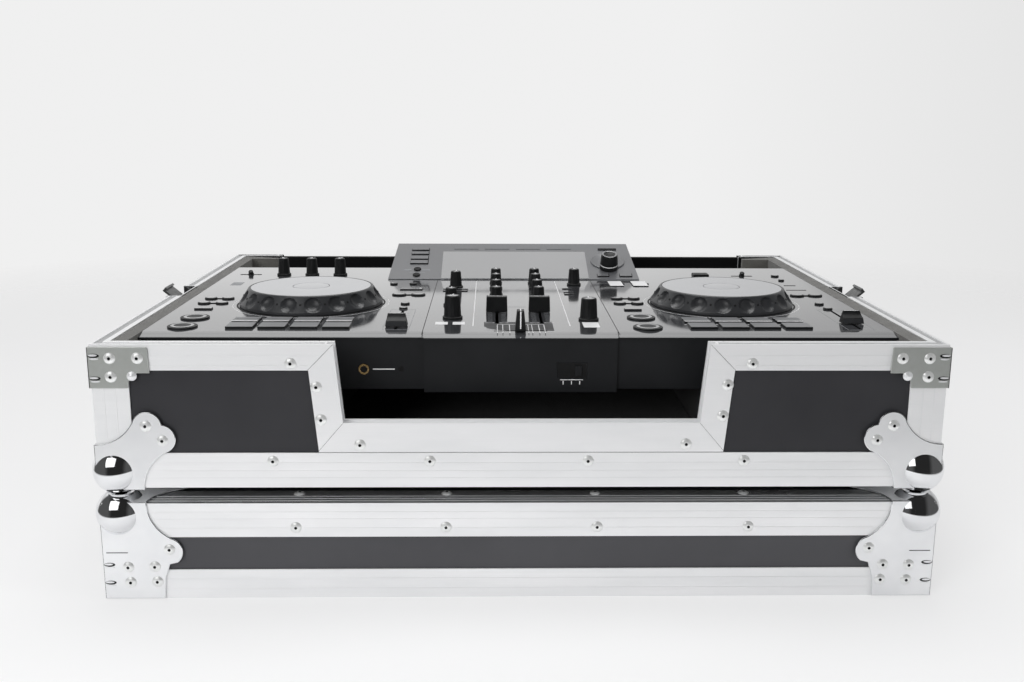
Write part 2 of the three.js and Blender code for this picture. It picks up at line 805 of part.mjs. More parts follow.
function deckProfile(proud) {
  const front = unitFront - proud;
  const under = deckUnder;
  return polygon([
    [front, under],
    [unitBack, under],
    [unitBack, deckTop],
    [front + deckBevelRun, deckTop],
    [front, deckTop - deckBevelDrop],
  ]);
}

const jogPlaces = [-1, 1].map((side) => ({
  name: side < 0 ? 'left' : 'right',
  x: side * (deckMiddle - jogShift),
  y: unitFront + jogBack,
  hole: jogHubRadius + fitGap,
}));
const knobPlaces = [1, 2, 3].map((number) => ({
  name: `knob_back_${number}`,
  x: backKnobFromSide - unitHalf + (number - 1) * backKnobPitch,
  y: unitBack - backKnobFromBack,
  hole: knobShaftRadius + fitGap,
}));

// Faders: where each cap stands, which way it runs, and how far it can go each way from there
const faderPlaces = [
  ...[-1, 1].map((side) => ({
    name: side < 0 ? 'tempo_left' : 'tempo_right',
    kind: tempo,
    axis: 'y',
    x: side * deckMiddle + tempo.fromDeck,
    y: unitFront + (side < 0 ? tempoNow.left : tempoNow.right),
    middle: unitFront + tempo.fromFront,
  })),
  ...[-1, 1].map((side) => ({
    name: side < 0 ? 'channel_fader_1' : 'channel_fader_2',
    kind: fader,
    axis: 'y',
    x: side * fader.fromCentre,
    y: unitFront + fader.fromFront + fader.travel / 2,
    middle: unitFront + fader.fromFront,
  })),
  { name: 'crossfader', kind: cross, axis: 'x', x: 0, y: unitFront + cross.fromFront, middle: 0 },
];

function faderSlot(place) {
  const half = (place.kind.travel + stemLength) / 2 + fitGap;
  const z = [deckUnder - overrun, deckTop + overrun];
  const alongSlot = [place.middle - half, place.middle + half];
  if (place.axis === 'y') return block(centred(place.x, slotWidth), alongSlot, z);
  return block(alongSlot, centred(place.y, slotWidth), z);
}

function faderCap(place) {
  const { wide, long, high } = place.kind;
  const foot = deckTop + capClearance;
  const cap = block(centred(place.x, wide), centred(place.y, long), [foot, foot + high]);
  const thick = place.axis === 'y' ? stemThick : stemLength;
  const length = place.axis === 'y' ? stemLength : stemThick;
  const stemZ = [deckUnder + fitGap, foot + stemThick];
  return cap.add(block(centred(place.x, thick), centred(place.y, length), stemZ));
}

function deckPlate() {
  const sheet = prism(deckProfile(0), 'x', [-unitHalf, unitHalf]);
  const bow = prism(deckProfile(centreProud), 'x', [-centreHalf, centreHalf]);
  const through = [deckUnder - overrun, deckTop + overrun];
  const holes = [...jogPlaces, ...knobPlaces].map((place) => {
    return bar('z', [place.x, place.y, 0], place.hole, through);
  });
  return cutBy(sheet.add(bow), [...holes, ...faderPlaces.map(faderSlot)]);
}

// Display housing: a wedge that narrows towards its raised back edge
const housingTop = { y: unitBack - housingBackGap, z: deckTop + fitGap + housingRise };
const housingBase = { y: housingTop.y - housingDepth, z: deckTop + fitGap };
const housingFrontHalf = unitHalf * housingFrontShare;
const selectorX = housingFrontHalf - selectorFromSide;
const housingSlope = Math.atan2(housingTop.z - housingBase.z - housingLip, housingTop.y - housingBase.y);
const selectorFoot = {
  y: housingBase.y + selectorUp * Math.cos(housingSlope),
  z: housingBase.z + housingLip + selectorUp * Math.sin(housingSlope),
};

function screenHousing() {
  const front = housingFrontHalf;
  const back = unitHalf * housingBackShare;
  const profile = polygon([
    [housingBase.y, housingBase.z],
    [housingTop.y, housingBase.z],
    [housingTop.y, housingTop.z],
    [housingBase.y, housingBase.z + housingLip],
  ]);
  const sideCuts = [-1, 1].map((side) => prism(polygon([
    [side * front, housingBase.y],
    [side * back, housingTop.y],
    [side * back, housingTop.y + overrun],
    [side * (front + overrun), housingTop.y + overrun],
    [side * (front + overrun), housingBase.y],
  ]), 'z', [housingBase.z - overrun, housingTop.z + overrun]));
  const hole = tilted(bar('z', [0, 0, 0], knobShaftRadius + fitGap, [-deckThick, overrun]));
  return cutBy(prism(profile, 'x', [-front, front]), [...sideCuts, hole]);
}

// Moves a piece made at the origin, upright, to the selector's seat on the sloping housing
function tilted(solid) {
  const matrix = new THREE.Matrix4().makeTranslation(selectorX, selectorFoot.y, selectorFoot.z);
  matrix.multiply(new THREE.Matrix4().makeRotationX(housingSlope));
  return moved(solid, matrix);
}

function jogWheel(place) {
  const foot = deckTop + fitGap;
  const wheel = turned([
    [0, foot],
    [jogSkirtRadius, foot],
    [jogSkirtRadius, foot + jogLip],
    [jogTopRadius, foot + jogHeight],
    [0, foot + jogHeight],
  ], jogSteps);
  const hub = bar('z', [place.x, place.y, 0], jogHubRadius, [deckUnder, foot + jogLip]);
  return shifted(wheel, place.x, place.y, 0).add(hub);
}

function knobProfile(height, footRadius, topRadius, collarRadius, depth) {
  return [
    [0, -depth],
    [knobShaftRadius, -depth],
    [knobShaftRadius, fitGap],
    [collarRadius, fitGap],
    [collarRadius, knobCollarHeight],
    [footRadius, knobCollarHeight],
    [topRadius, height],
    [0, height],
  ];
}

function deckKnob(place) {
  const profile = knobProfile(knobHeight, knobFootRadius, knobTopRadius, knobCollarRadius, deckThick);
  return shifted(turned(profile, knobSteps), place.x, place.y, deckTop);
}

function selectorKnob() {
  const depth = deckThick - fitGap;
  const profile = knobProfile(selectorHeight, selectorRadius, selectorTopRadius, selectorCollarRadius, depth);
  return tilted(turned(profile, knobSteps));
}

// The object: each piece is one named mesh with its own material
const part = new THREE.Group();

function addPiece(name, solid, finish) {
  const flat = toGeometry(solid).toNonIndexed();
  flat.computeVertexNormals();
  const mesh = new THREE.Mesh(flat, new THREE.MeshStandardMaterial(finishes[finish]));
  mesh.name = name;
  part.add(mesh);
}

// Lid
const lidCuts = cornerCuts(lidHeight, -1);
const lidRooms = sides.map(({ x }) => lidLatchRoom(x));
addPiece('lid_top_panel', cutBy(floorBoard([lidCeiling, lidHeight - boardOut]), lidCuts), 'lidLaminate');
addPiece('lid_front_wall', cutBy(endBoard(-1, lidBoardZ), lidCuts), 'lidLaminate');
addPiece('lid_back_wall', cutBy(endBoard(1, lidBoardZ), lidCuts), 'lidLaminate');
sides.forEach(({ name, x }) => {
  addPiece(`lid_${name}_wall`, cutBy(sideBoard(x, lidBoardZ), [...lidCuts, ...lidRooms]), 'lidLaminate');
});
addPiece('lid_top_edging', edging(lidHeight, -1, lidRimFlange + fitGap), 'aluminium');
addPiece('lid_rim', cutBy(rimChannel(0, 1, lidRimFlange), lidRooms), 'aluminium');
corners.forEach((corner) => addPiece(`lid_corner_${corner.name}`, lidCorner(corner), 'chrome'));
addPiece('lid_foam_lining', cutBy(lidLining(), lidCuts), 'foam');
sides.forEach(({ name, x }) => addPiece(`lid_latch_keeper_${name}`, latchKeeper(x), 'chrome'));

// Tray
const trayCuts = cornerCuts(trayBottom, 1);
const frontCuts = [...trayCuts, boardOpening(frontOpening, -1)];
const backCuts = [...trayCuts, boardOpening(rearOpening, 1)];
addPiece('tray_floor_panel', cutBy(floorBoard([trayBottom + boardOut, trayFloorTop]), trayCuts), 'laminate');
addPiece('tray_front_wall', cutBy(endBoard(-1, trayBoardZ), frontCuts), 'laminate');
addPiece('tray_back_wall', cutBy(endBoard(1, trayBoardZ), backCuts), 'laminate');
sides.forEach(({ name, x }) => {
  addPiece(`tray_${name}_wall`, cutBy(sideBoard(x, trayBoardZ), [...trayCuts, trayLatchRoom(x)]), 'laminate');
});
addPiece('tray_bottom_edging', edging(trayBottom, 1, rimTop - trayRimFlange - fitGap), 'aluminium');
sides.forEach(({ name, x }) => addPiece(`tray_rim_front_${name}`, trayRimFront(x), 'aluminium'));
addPiece('tray_rim_back', trayRimBack(), 'aluminium');
addPiece('front_cutout_trim', frontTrim(), 'aluminium');
corners.forEach((corner) => addPiece(`tray_rim_bracket_${corner.name}`, trayBracket(corner), 'zinc'));
corners.forEach((corner) => addPiece(`tray_corner_${corner.name}`, trayCorner(corner), 'chrome'));
addPiece('foam_bed', foamBed(), 'foam');
addPiece('foam_surround', cutBy(foamSurround(), trayCuts), 'foam');
addPiece('rear_access_panel', rearPanel(), 'laminate');
sides.forEach(({ name, x }) => {
  addPiece(`latch_dish_${name}`, latchDish(x), 'chrome');
  addPiece(`latch_claw_${name}`, latchClaw(x), 'chrome');
  addPiece(`latch_wing_${name}`, latchWing(x), 'chrome');
  addPiece(`handle_plate_${name}`, handlePlate(x), 'zinc');
  addPiece(`handle_bail_${name}`, handleBail(x), 'knob');
});

// Deck unit
addPiece('unit_chassis', unitChassis(), 'unit');
addPiece('unit_circuit_board', unitBoard(), 'board');
addPiece('unit_deck_plate', deckPlate(), 'deck');
addPiece('unit_screen_housing', screenHousing(), 'housing');
jogPlaces.forEach((place) => addPiece(`jog_wheel_${place.name}`, jogWheel(place), 'jog'));
faderPlaces.forEach((place) => addPiece(place.name, faderCap(place), 'knob'));
knobPlaces.forEach((place) => addPiece(place.name, deckKnob(place), 'knob'));
addPiece('selector_knob', selectorKnob(), 'knob');

export default part;
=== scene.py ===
import math

import bmesh
import bpy
from mathutils import Matrix, Vector


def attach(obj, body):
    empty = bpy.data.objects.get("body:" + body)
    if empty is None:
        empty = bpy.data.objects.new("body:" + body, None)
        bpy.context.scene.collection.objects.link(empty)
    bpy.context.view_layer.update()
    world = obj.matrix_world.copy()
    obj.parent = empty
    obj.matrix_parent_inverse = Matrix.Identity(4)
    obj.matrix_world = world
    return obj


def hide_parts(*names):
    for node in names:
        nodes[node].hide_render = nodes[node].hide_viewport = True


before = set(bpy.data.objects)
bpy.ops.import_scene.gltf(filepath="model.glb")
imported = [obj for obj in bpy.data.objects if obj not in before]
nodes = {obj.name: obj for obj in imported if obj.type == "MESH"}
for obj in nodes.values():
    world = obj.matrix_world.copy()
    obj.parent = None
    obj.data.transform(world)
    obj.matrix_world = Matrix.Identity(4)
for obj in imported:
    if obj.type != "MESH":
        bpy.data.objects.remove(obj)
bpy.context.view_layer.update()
scene = bpy.context.scene
print("frame loaded:", len(nodes), "nodes")

# Sizes in millimetres, the same as the part's
halfX = 390
halfY = 295
lidHeight = 94.5
trayBottom = 109.8
rimTop = 246
deckTop = 243
unitFront = -238.2
latchY = -11


# Small helpers
def linear(code):
    channels = [int(code[i:i + 2], 16) / 255 for i in (1, 3, 5)]
    return [c / 12.92 if c <= 0.04045 else ((c + 0.055) / 1.055) ** 2.4 for c in channels] + [1]


def addNode(tree, kind, inputs=None, **settings):
    node = tree.nodes.new(kind)
    for key, value in settings.items():
        setattr(node, key, value)
    for key, value in (inputs or {}).items():
        if isinstance(value, bpy.types.NodeSocket):
            tree.links.new(value, node.inputs[key])
        else:
            node.inputs[key].default_value = value
    return node


# A material: two near colours in soft patches, a grain that bumps the surface, and varied roughness.
# Sizes of patches, grain, pores and marks are in millimetres, one for all three axes or one for each
def makeMaterial(name, colour, shade, rough, metal=0, patch=60, grain=1, bump=0.03, pores=None, coat=0,
                 coatIor=1.5, sheen=0, ior=1.5, marks=None, grainShade=0):
    material = bpy.data.materials.new(name)
    material.use_nodes = True
    tree = material.node_tree
    shader = tree.nodes["Principled BSDF"]
    coords = addNode(tree, "ShaderNodeTexCoord").outputs["Object"]
    fields = []
    for size, detail in [(patch, 3), (grain, 4)] + ([(marks["size"], 2)] if marks else []):
        scale = [1000 / s for s in (size if isinstance(size, tuple) else [size] * 3)]
        mapped = addNode(tree, "ShaderNodeMapping", {"Vector": coords, "Scale": scale})
        inputs = {"Vector": mapped.outputs[0], "Scale": 1, "Detail": detail, "Roughness": 0.6}
        fields.append(addNode(tree, "ShaderNodeTexNoise", inputs).outputs["Fac"])
    broad, height = fields[:2]
    # Each layer lays a colour over the last: the field it follows, the field's values at the ramp's ends,
    # the colour's share at each end, and the colour
    layers = [(broad, 0.3, 0.7, 0, 1, shade)]
    if grainShade:
        layers.append((height, 0.3, 0.7, 0, grainShade, shade))
    if pores:
        mapped = addNode(tree, "ShaderNodeMapping", {"Vector": coords, "Scale": [1000 / pores] * 3})
        cells = addNode(tree, "ShaderNodeTexVoronoi", {"Vector": mapped.outputs[0], "Scale": 1})
        inputs = {"Value": cells.outputs["Distance"], "From Min": 0, "From Max": 0.7}
        height = addNode(tree, "ShaderNodeMapRange", inputs).outputs[0]
        layers.append((height, 0, 0.5, 0.6, 0, shade))
    if marks:
        bare = 1 - marks["share"]
        layers.append((fields[2], bare, bare + 0.02, 0, 1, marks["colour"]))
    tone = linear(colour)
    for field, low, high, first, last, over in layers:
        inputs = {"Value": field, "From Min": low, "From Max": high, "To Min": first, "To Max": last}
        share = addNode(tree, "ShaderNodeMapRange", inputs).outputs[0]
        mixed = addNode(tree, "ShaderNodeMix", {0: share, 6: tone, 7: linear(over)}, data_type="RGBA")
        tone = mixed.outputs[2]
    tree.links.new(tone, shader.inputs["Base Color"])
    inputs = {"Value": broad, "From Min": 0.3, "From Max": 0.7, "To Min": rough[0], "To Max": rough[1]}
    tree.links.new(addNode(tree, "ShaderNodeMapRange", inputs).outputs[0], shader.inputs["Roughness"])
    bumped = addNode(tree, "ShaderNodeBump", {"Height": height, "Distance": bump / 1000, "Strength": 1.0})
    tree.links.new(bumped.outputs[0], shader.inputs["Normal"])
    shader.inputs["Metallic"].default_value = metal
    shader.inputs["IOR"].default_value = ior
    shader.inputs["Coat Weight"].default_value = coat
    shader.inputs["Coat IOR"].default_value = coatIor
    shader.inputs["Coat Roughness"].default_value = 0.07
    shader.inputs["Sheen Weight"].default_value = sheen
    return material


# Anodised aluminium: pale and even, fine brushing along each length keeps its mirror soft
aluminium = dict(colour="#f5f5f6", shade="#ecedee", rough=(0.38, 0.5), metal=0.45, bump=0.01, grainShade=0.4)
aluSet = []
for axis in range(3):
    patch, grain = [30] * 3, [0.7] * 3
    patch[axis] = grain[axis] = 160
    aluSet.append(makeMaterial("anodised_aluminium_brushed_along_" + "xyz"[axis], patch=tuple(patch),
                               grain=tuple(grain), **aluminium))
# The rail's groove: a greyer, duller copy of the aluminium, painted shade along the groove's floor in the
# pale rail
grooveShadeAluminium = makeMaterial("aluminium_groove_painted_shade", "#b9babb", "#adaeaf", (0.5, 0.6), metal=0.4,
                             patch=60, grain=1.2, bump=0.01, grainShade=0.4)
# Polished chrome: a hard mirror, dark where it sees the room and white where it sees the lamp
chrome = makeMaterial("chrome_plate_polished", "#f2f3f4", "#e9eaec", (0.035, 0.08), metal=1,
                      patch=25, grain=9, bump=0.01)
# The corners' flat plates, pressed and less buffed than the ball: pale satin, chrome only along the edges
plateChrome = makeMaterial("chrome_plate_satin", "#f4f5f6", "#e9eaec", (0.3, 0.38), metal=0.55,
                           patch=60, grain=0.5, bump=0.0005)
# The lid's top flange: a darker, more mirror-like copy of the aluminium, painted shade so that it stays dark
# in the gap, where it mirrors the black board above it
lidTopShadeAluminium = makeMaterial("aluminium_lid_top_painted_shade", "#c9cacb", "#b9babb", (0.24, 0.34), metal=0.8,
                              patch=(160, 30, 30), grain=(160, 0.9, 0.9), bump=0.01, grainShade=0.5)
# Worn chrome on the latch claws: mottled and greyer, no clear mirror
wornChrome = makeMaterial("chrome_plate_worn_dull", "#7c7d7d", "#555656", (0.24, 0.36), metal=0.85,
                          patch=5, grain=1.2, bump=0.02, grainShade=0.5)
# Satin zinc: a flat grey sheet with a faint cloud of crystals
zinc = makeMaterial("zinc_plated_steel_satin", "#c4c7c4", "#babdb9", (0.36, 0.44), metal=0.7,
                    patch=14, grain=2.5, bump=0.004, grainShade=0.3)
# Nickel on rivet heads: bright soft domes
rivetSteel = makeMaterial("nickel_plated_rivet_steel", "#f4f5f4", "#e8e9e8", (0.28, 0.36), metal=0.6,
                          patch=8, grain=1.5, bump=0.006)
# A near black for what lies deep in a hole, slot or seam: painted shade in the holes and slots
darkHole = makeMaterial("shadowed_steel_recess", "#121314", "#0d0e0f", (0.6, 0.7), metal=0.2, bump=0.02)
# Phenolic laminate: matt charcoal with a fine leathery grain and paler scuffs
laminate = makeMaterial("phenolic_laminate_matt_charcoal", "#29292c", "#2f2f32", (0.4, 0.5), ior=1.42,
                        patch=90, grain=0.8, bump=0.035,
                        marks=dict(size=(3, 14, 5), colour="#414144", share=0.24))
# The lid's walls, lower and better lit: the same laminate painted a step greyer, as painted light
lidLaminate = makeMaterial("phenolic_laminate_painted_lit_grey", "#404043", "#464649", (0.4, 0.5), ior=1.42,
                           patch=90, grain=0.8, bump=0.035,
                           marks=dict(size=(5, 14, 3), colour="#545457", share=0.24))
# The lid's top: the laminate darker and duller, painted shade so that it stays dark in the gap under the tray
lidTopShadeLaminate = makeMaterial("phenolic_laminate_lid_top_painted_shade", "#232325", "#29292b", (0.75, 0.85), ior=1.25,
                            patch=90, grain=0.8, bump=0.035)
# Black board inside: flat and lightless. The back trim's inner lip takes the same black as painted shade
blackBoardAndLipShade = makeMaterial("laminate_black_inner_and_lip_shade", "#0c0c0d", "#111112", (0.6, 0.7), ior=1.3,
                          grain=0.9, bump=0.04)
# Birch plywood at a cut edge: thin warm plies
plyEdge = makeMaterial("birch_plywood_edge", "#b99a6b", "#8f7247", (0.6, 0.75), patch=(60, 60, 1.4),
                       grain=(12, 12, 0.6), bump=0.05, grainShade=0.7)
# Grey foam: open pores and a soft bloom, no shine; pores drawn at 1.6 mm, coarser than the real ones
foamGrey = makeMaterial("closed_cell_foam_grey", "#605f5c", "#53524f", (0.85, 0.95), patch=30,
                        grain=1.1, bump=0.25, pores=1.6, sheen=0.25, ior=1.35)
# Black foam: the same sponge, only its bloom shows; its near black is also painted shade for the bed under
# the unit
foamBlackAndShade = makeMaterial("closed_cell_foam_black_and_painted_shade", "#171718", "#111112", (0.88, 0.96), patch=30,
                         grain=1.1, bump=0.25, pores=1.6, sheen=0.08, ior=1.25)
# Satin black ABS: a dim, broad shine on the unit's case
shellPlastic = makeMaterial("moulded_abs_satin_black", "#161719", "#1c1d1f", (0.42, 0.52), ior=1.36,
                            grain=0.5, bump=0.02)
# Lacquered faceplate: dark paint under thick gloss, silvery at a low view
deckSheet = makeMaterial("faceplate_gloss_dark_lacquer", "#434447", "#47484b", (0.1, 0.13), ior=1.87,
                         patch=160, grain=0.6, bump=0.0015, coat=1, coatIor=1.8)
# Satin grey skin of the display housing: an even mid grey
housingSkin = makeMaterial("display_housing_satin_grey", "#58595c", "#5d5e61", (0.28, 0.34), ior=1.95,
                           grain=0.5, bump=0.006)
# Display glass, switched off: a grey paler than its frame, a painted reflection of the studio it mirrors
screenGlass = makeMaterial("display_glass_off", "#6e6f71", "#717274", (0.1, 0.13), ior=2.5,
                           patch=70, grain=30, bump=0.0004, coat=1, coatIor=1.8)
# Spun metal on the jog tops: silver discs
jogPlate = makeMaterial("jog_top_spun_metal", "#c3c4c7", "#cacbce", (0.16, 0.2), metal=0.64,
                        patch=60, grain=0.5, bump=0.001)
# Moulded grey jog skirt: soft shine that draws each finger dimple
jogRubber = makeMaterial("jog_skirt_moulded_grey", "#2b2c2e", "#313234", (0.3, 0.38), ior=1.6,
                         grain=0.6, bump=0.015)
# Soft-touch black: knobs and caps read as black with a velvety edge
knobBlack = makeMaterial("knob_soft_touch_black", "#0f1011", "#151617", (0.42, 0.55),
                         patch=10, grain=0.4, bump=0.02)
# Grey gloss on the smooth end faces of knobs and keys: painted sheen, where they catch the back light
paintedSheenGrey = makeMaterial("key_top_painted_sheen_grey", "#57585b", "#5d5e61", (0.14, 0.2), ior=1.9,
                        patch=18, grain=0.5, bump=0.002, coat=1, coatIor=1.7)
# Satin silicone of the pads: an even mid grey, without the deck's mirror
padGrey = makeMaterial("pad_silicone_satin_grey", "#767779", "#7c7d7f", (0.34, 0.44), ior=1.45,
                       patch=14, grain=0.5, bump=0.01)
# Dark rubber of the small rings and trims: dull, a step above black. It also paints light on the tempo caps'
# low front faces
darkRubberAndLitFace = makeMaterial("rubber_matt_dark_grey_and_painted_light", "#2e2f31", "#28292b", (0.45, 0.55),
                          patch=10, grain=0.5, bump=0.015)
# Printed lines: flat ink, white and grey. The grey also paints light on the display housing's front faces
inkWhite = makeMaterial("printed_white_line", "#e9e9ea", "#dededf", (0.4, 0.5), grain=0.5, bump=0.004)
greyInkAndLitFace = makeMaterial("printed_grey_line_and_painted_light", "#8b8d90", "#808285", (0.4, 0.5), grain=0.5, bump=0.004)
# Brass jack ring: a warm glint
brass = makeMaterial("jack_brass_ring", "#cdb183", "#b4955f", (0.2, 0.3), metal=1,
                     patch=4, grain=0.6, bump=0.01)
# Inside of sockets: black
deepBlack = makeMaterial("socket_interior_black", "#0b0b0c", "#101011", (0.6, 0.7), bump=0.02)
# Circuit board lacquer: deep green with a light gloss, seen only when the unit is opened
boardGreen = makeMaterial("circuit_board_green", "#1f4a2b", "#193e24", (0.35, 0.5),
                          patch=15, grain=3, bump=0.03)
print("materials made")


# Mesh helpers, all in millimetres
def merge(bm, part, matrix=None, material=0):
    if matrix is not None:
        bmesh.ops.transform(part, matrix=matrix, verts=part.verts)
    bmesh.ops.recalc_face_normals(part, faces=part.faces)
    for face in part.faces:
        face.material_index += material
    mesh = bpy.data.meshes.new("working")
    part.to_mesh(mesh)
    part.free()
    bm.from_mesh(mesh)
    bpy.data.meshes.remove(mesh)


def bevelled(part, width, steps=2, angle=30):
    if width:
        sharp = [e for e in part.edges if e.is_manifold and e.calc_face_angle(0) > math.radians(angle)]
        bmesh.ops.bevel(part, geom=sharp, offset=width, segments=steps, affect="EDGES", profile=0.5,
                        material=-1, clamp_overlap=True)


def addBlock(bm, low, high, bevel=0.4, steps=2, matrix=None, material=0):
    part = bmesh.new()
    bmesh.ops.create_cube(part, size=1)
    size = [h - l for l, h in zip(low, high)]
    middle = [(h + l) / 2 for l, h in zip(low, high)]
    bmesh.ops.scale(part, vec=size, verts=part.verts)
    bmesh.ops.translate(part, vec=middle, verts=part.verts)
    bevelled(part, bevel, steps)
    merge(bm, part, matrix, material)


def addPrism(bm, outline, low, high, bevel=0.4, steps=2, matrix=None, material=0):
    part = bmesh.new()
    face = part.faces.new([part.verts.new((x, y, low)) for x, y in outline])
    rise = bmesh.ops.extrude_face_region(part, geom=[face])["geom"]
    top = [v for v in rise if isinstance(v, bmesh.types.BMVert)]
    bmesh.ops.translate(part, vec=(0, 0, high - low), verts=top)
    if not face.is_valid:
        part.faces.new([v for v in part.verts if v not in top])
    bmesh.ops.recalc_face_normals(part, faces=part.faces)
    if bevel:
        caps = [e for e in part.edges if abs(e.verts[0].co.z - e.verts[1].co.z) < 1e-6]
        bmesh.ops.bevel(part, geom=caps, offset=bevel, segments=steps, affect="EDGES", profile=0.5,
                        material=-1, clamp_overlap=True)
    merge(bm, part, matrix, material)


# A turned piece from points of radius and height; bands gives a material for each stretch of the profile
def addTurned(bm, profile, steps=32, matrix=None, material=0, bands=None, shape=None):
    part = bmesh.new()
    verts = [part.verts.new((radius, 0, height)) for radius, height in profile]
    edges = [part.edges.new(pair) for pair in zip(verts, verts[1:])]
    bmesh.ops.spin(part, geom=verts + edges, cent=(0, 0, 0), axis=(0, 0, 1), angle=math.tau, steps=steps,
                   use_merge=True)
    bmesh.ops.remove_doubles(part, verts=part.verts, dist=0.0005)
    if bands:
        middles = [((r + s) / 2, (h + k) / 2) for (r, h), (s, k) in zip(profile, profile[1:])]
        for face in part.faces:
            rings = {(round(v.co.xy.length, 3), round(v.co.z, 3)) for v in face.verts}
            r, h = sum(p[0] for p in rings) / len(rings), sum(p[1] for p in rings) / len(rings)
            gaps = [(m - r) ** 2 + (n - h) ** 2 for m, n in middles]
            face.material_index = bands[gaps.index(min(gaps))]
    if shape:
        for v in part.verts:
            angle = math.atan2(v.co.y, v.co.x)
            radius, height = shape(v.co.xy.length, v.co.z, angle)
            v.co = (radius * math.cos(angle), radius * math.sin(angle), height)
    merge(bm, part, matrix, material)


def makePiece(name, bm, materials, body, replaces=(), crease=32):
    bmesh.ops.scale(bm, vec=(0.001, 0.001, 0.001), verts=bm.verts)
    mesh = bpy.data.meshes.new(name)
    bm.to_mesh(mesh)
    bm.free()
    for material in materials:
        mesh.materials.append(material)
    for face in mesh.polygons:
        face.use_smooth = True
    mesh.set_sharp_from_angle(angle=math.radians(crease))
    piece = bpy.data.objects.new(name, mesh)
    scene.collection.objects.link(piece)
    even = piece.modifiers.new("even_shading", "WEIGHTED_NORMAL")
    even.keep_sharp = True
    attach(piece, body)
    if replaces:
        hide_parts(*replaces)
    return piece


# A CAD node's own shape with its edges eased; choose picks the material of each face
def easedNode(node, width, materials, body, choose=None, steps=2, settle=None):
    bm = bmesh.new()
    bm.from_mesh(nodes[node].data)
    bmesh.ops.scale(bm, vec=(1000, 1000, 1000), verts=bm.verts)
    bmesh.ops.remove_doubles(bm, verts=bm.verts, dist=0.005)
    bmesh.ops.dissolve_limit(bm, angle_limit=0.02, verts=bm.verts, edges=bm.edges)
    bevelled(bm, width, steps)
    if settle:
        for v in bm.verts:
            v.co = settle(v.co)
        bmesh.ops.remove_doubles(bm, verts=bm.verts, dist=0.005)
    for face in bm.faces:
        face.material_index = choose(face) if choose else 0
    return makePiece(node + "_finished", bm, materials, body, replaces=(node,))


def facing(side, point):
    turns = {
        "front": ((1, 0, 0), (0, 0, 1), (0, -1, 0)),
        "back": ((-1, 0, 0), (0, 0, 1), (0, 1, 0)),
        "left": ((0, -1, 0), (0, 0, 1), (-1, 0, 0)),
        "right": ((0, 1, 0), (0, 0, 1), (1, 0, 0)),
        "top": ((1, 0, 0), (0, 1, 0), (0, 0, 1)),
        "bottom": ((1, 0, 0), (0, -1, 0), (0, 0, -1)),
    }[side]
    matrix = Matrix([[axis[i] for axis in turns] for i in range(3)]).to_4x4()
    return Matrix.Translation(point) @ matrix


sides = ("front", "back", "left", "right")
cornerSigns = [(-1, -1), (1, -1), (-1, 1), (1, 1)]


def onFace(side, across, level, proud=0.0):
    return {"front": (across, -halfY - proud, level), "back": (across, halfY + proud, level),
            "left": (-halfX - proud, across, level), "right": (halfX + proud, across, level)}[side]


# Aluminium: each length is brushed along itself. The posts stand between the angles and the rims
edging = dict(ease=0.35, rail=15, post=35, angle=34, trayRim=25, lidRim=29, groove=(1.5, 0.8), lip=366)


def brushedWay(face):
    centre = face.calc_center_median()
    insetX, insetY = halfX - abs(centre.x), halfY - abs(centre.y)
    onTray = trayBottom + edging["angle"] < centre.z < rimTop - edging["trayRim"]
    onLid = edging["lidRim"] < centre.z < lidHeight - edging["angle"]
    if max(insetX, insetY) < edging["post"] and (onTray or onLid):
        return 2
    return 1 if insetX < edging["rail"] <= insetY else 0


# The trim of the front cut-out: its lower corner, the jambs' lean, and how far out the jambs reach
cutout = dict(half=164, level=172, lean=0.095, reach=330)


def trimWay(face):
    centre = face.calc_center_median()
    outward, above = abs(centre.x) - cutout["half"], centre.z - cutout["level"]
    jamb = outward > above * cutout["lean"] and above > -outward
    return 2 if jamb and abs(centre.x) < cutout["reach"] else 0


# Painted shade: the groove along the top of the tray's rim gets the greyer aluminium, and the back trim's
# inner lip gets the black of the board it holds
def railWay(face):
    centre = face.calc_center_median()
    # The back trim's inner lip: painted shade, as black as the board
    if centre.y > 0 and abs(centre.x) < edging["lip"] and face.normal.y < -0.9:
        return 4
    low, high = [rimTop - depth for depth in edging["groove"]]
    return 3 if face.normal.z > 0.9 and low < centre.z < high else brushedWay(face)


# The lid edging's top faces take the darker aluminium: painted shade for the gap under the tray
def lidEdgeWay(face):
    onTop = face.normal.z > 0.9 and face.calc_center_median().z > lidHeight - 0.5
    return 3 if onTop else brushedWay(face)


edged = [("lid_top_edging", "lid", [*aluSet, lidTopShadeAluminium], lidEdgeWay),
         ("lid_rim", "lid", aluSet, brushedWay),
         ("tray_bottom_edging", "tray", aluSet, brushedWay)]
for node in ("tray_rim_front_left", "tray_rim_front_right", "tray_rim_back"):
    edged.append((node, "tray", [*aluSet, grooveShadeAluminium, blackBoardAndLipShade], railWay))
edged.append(("front_cutout_trim", "tray", aluSet, trimWay))
for node, body, materials, choose in edged:
    easedNode(node, edging["ease"], materials, body, choose=choose)
print("edging eased")


# Raised ribs that run along the extrusions: levels on the tray and the lid, and insets on the lid's top
# and the posts. Gaps are left for the latches, the front cut-out and the back opening
ribs = dict(height=0.25, width=1.1, topWidth=1, ease=0.2, end=2, foot=[118.9, 125.8, 133.5],
            rim=[225.8, 235.4], lid=[69.6, 78.6, 85.5], lidRim=[9, 19], lidTop=[6, 12, 18], post=[10.5, 21],
            latchGap=41.5, backGap=351, cutGap=173.5, cutSlope=25.5 / 24.5,
            trayPost=(trayBottom + 36, rimTop - 26), lidPost=(31, lidHeight - 36))


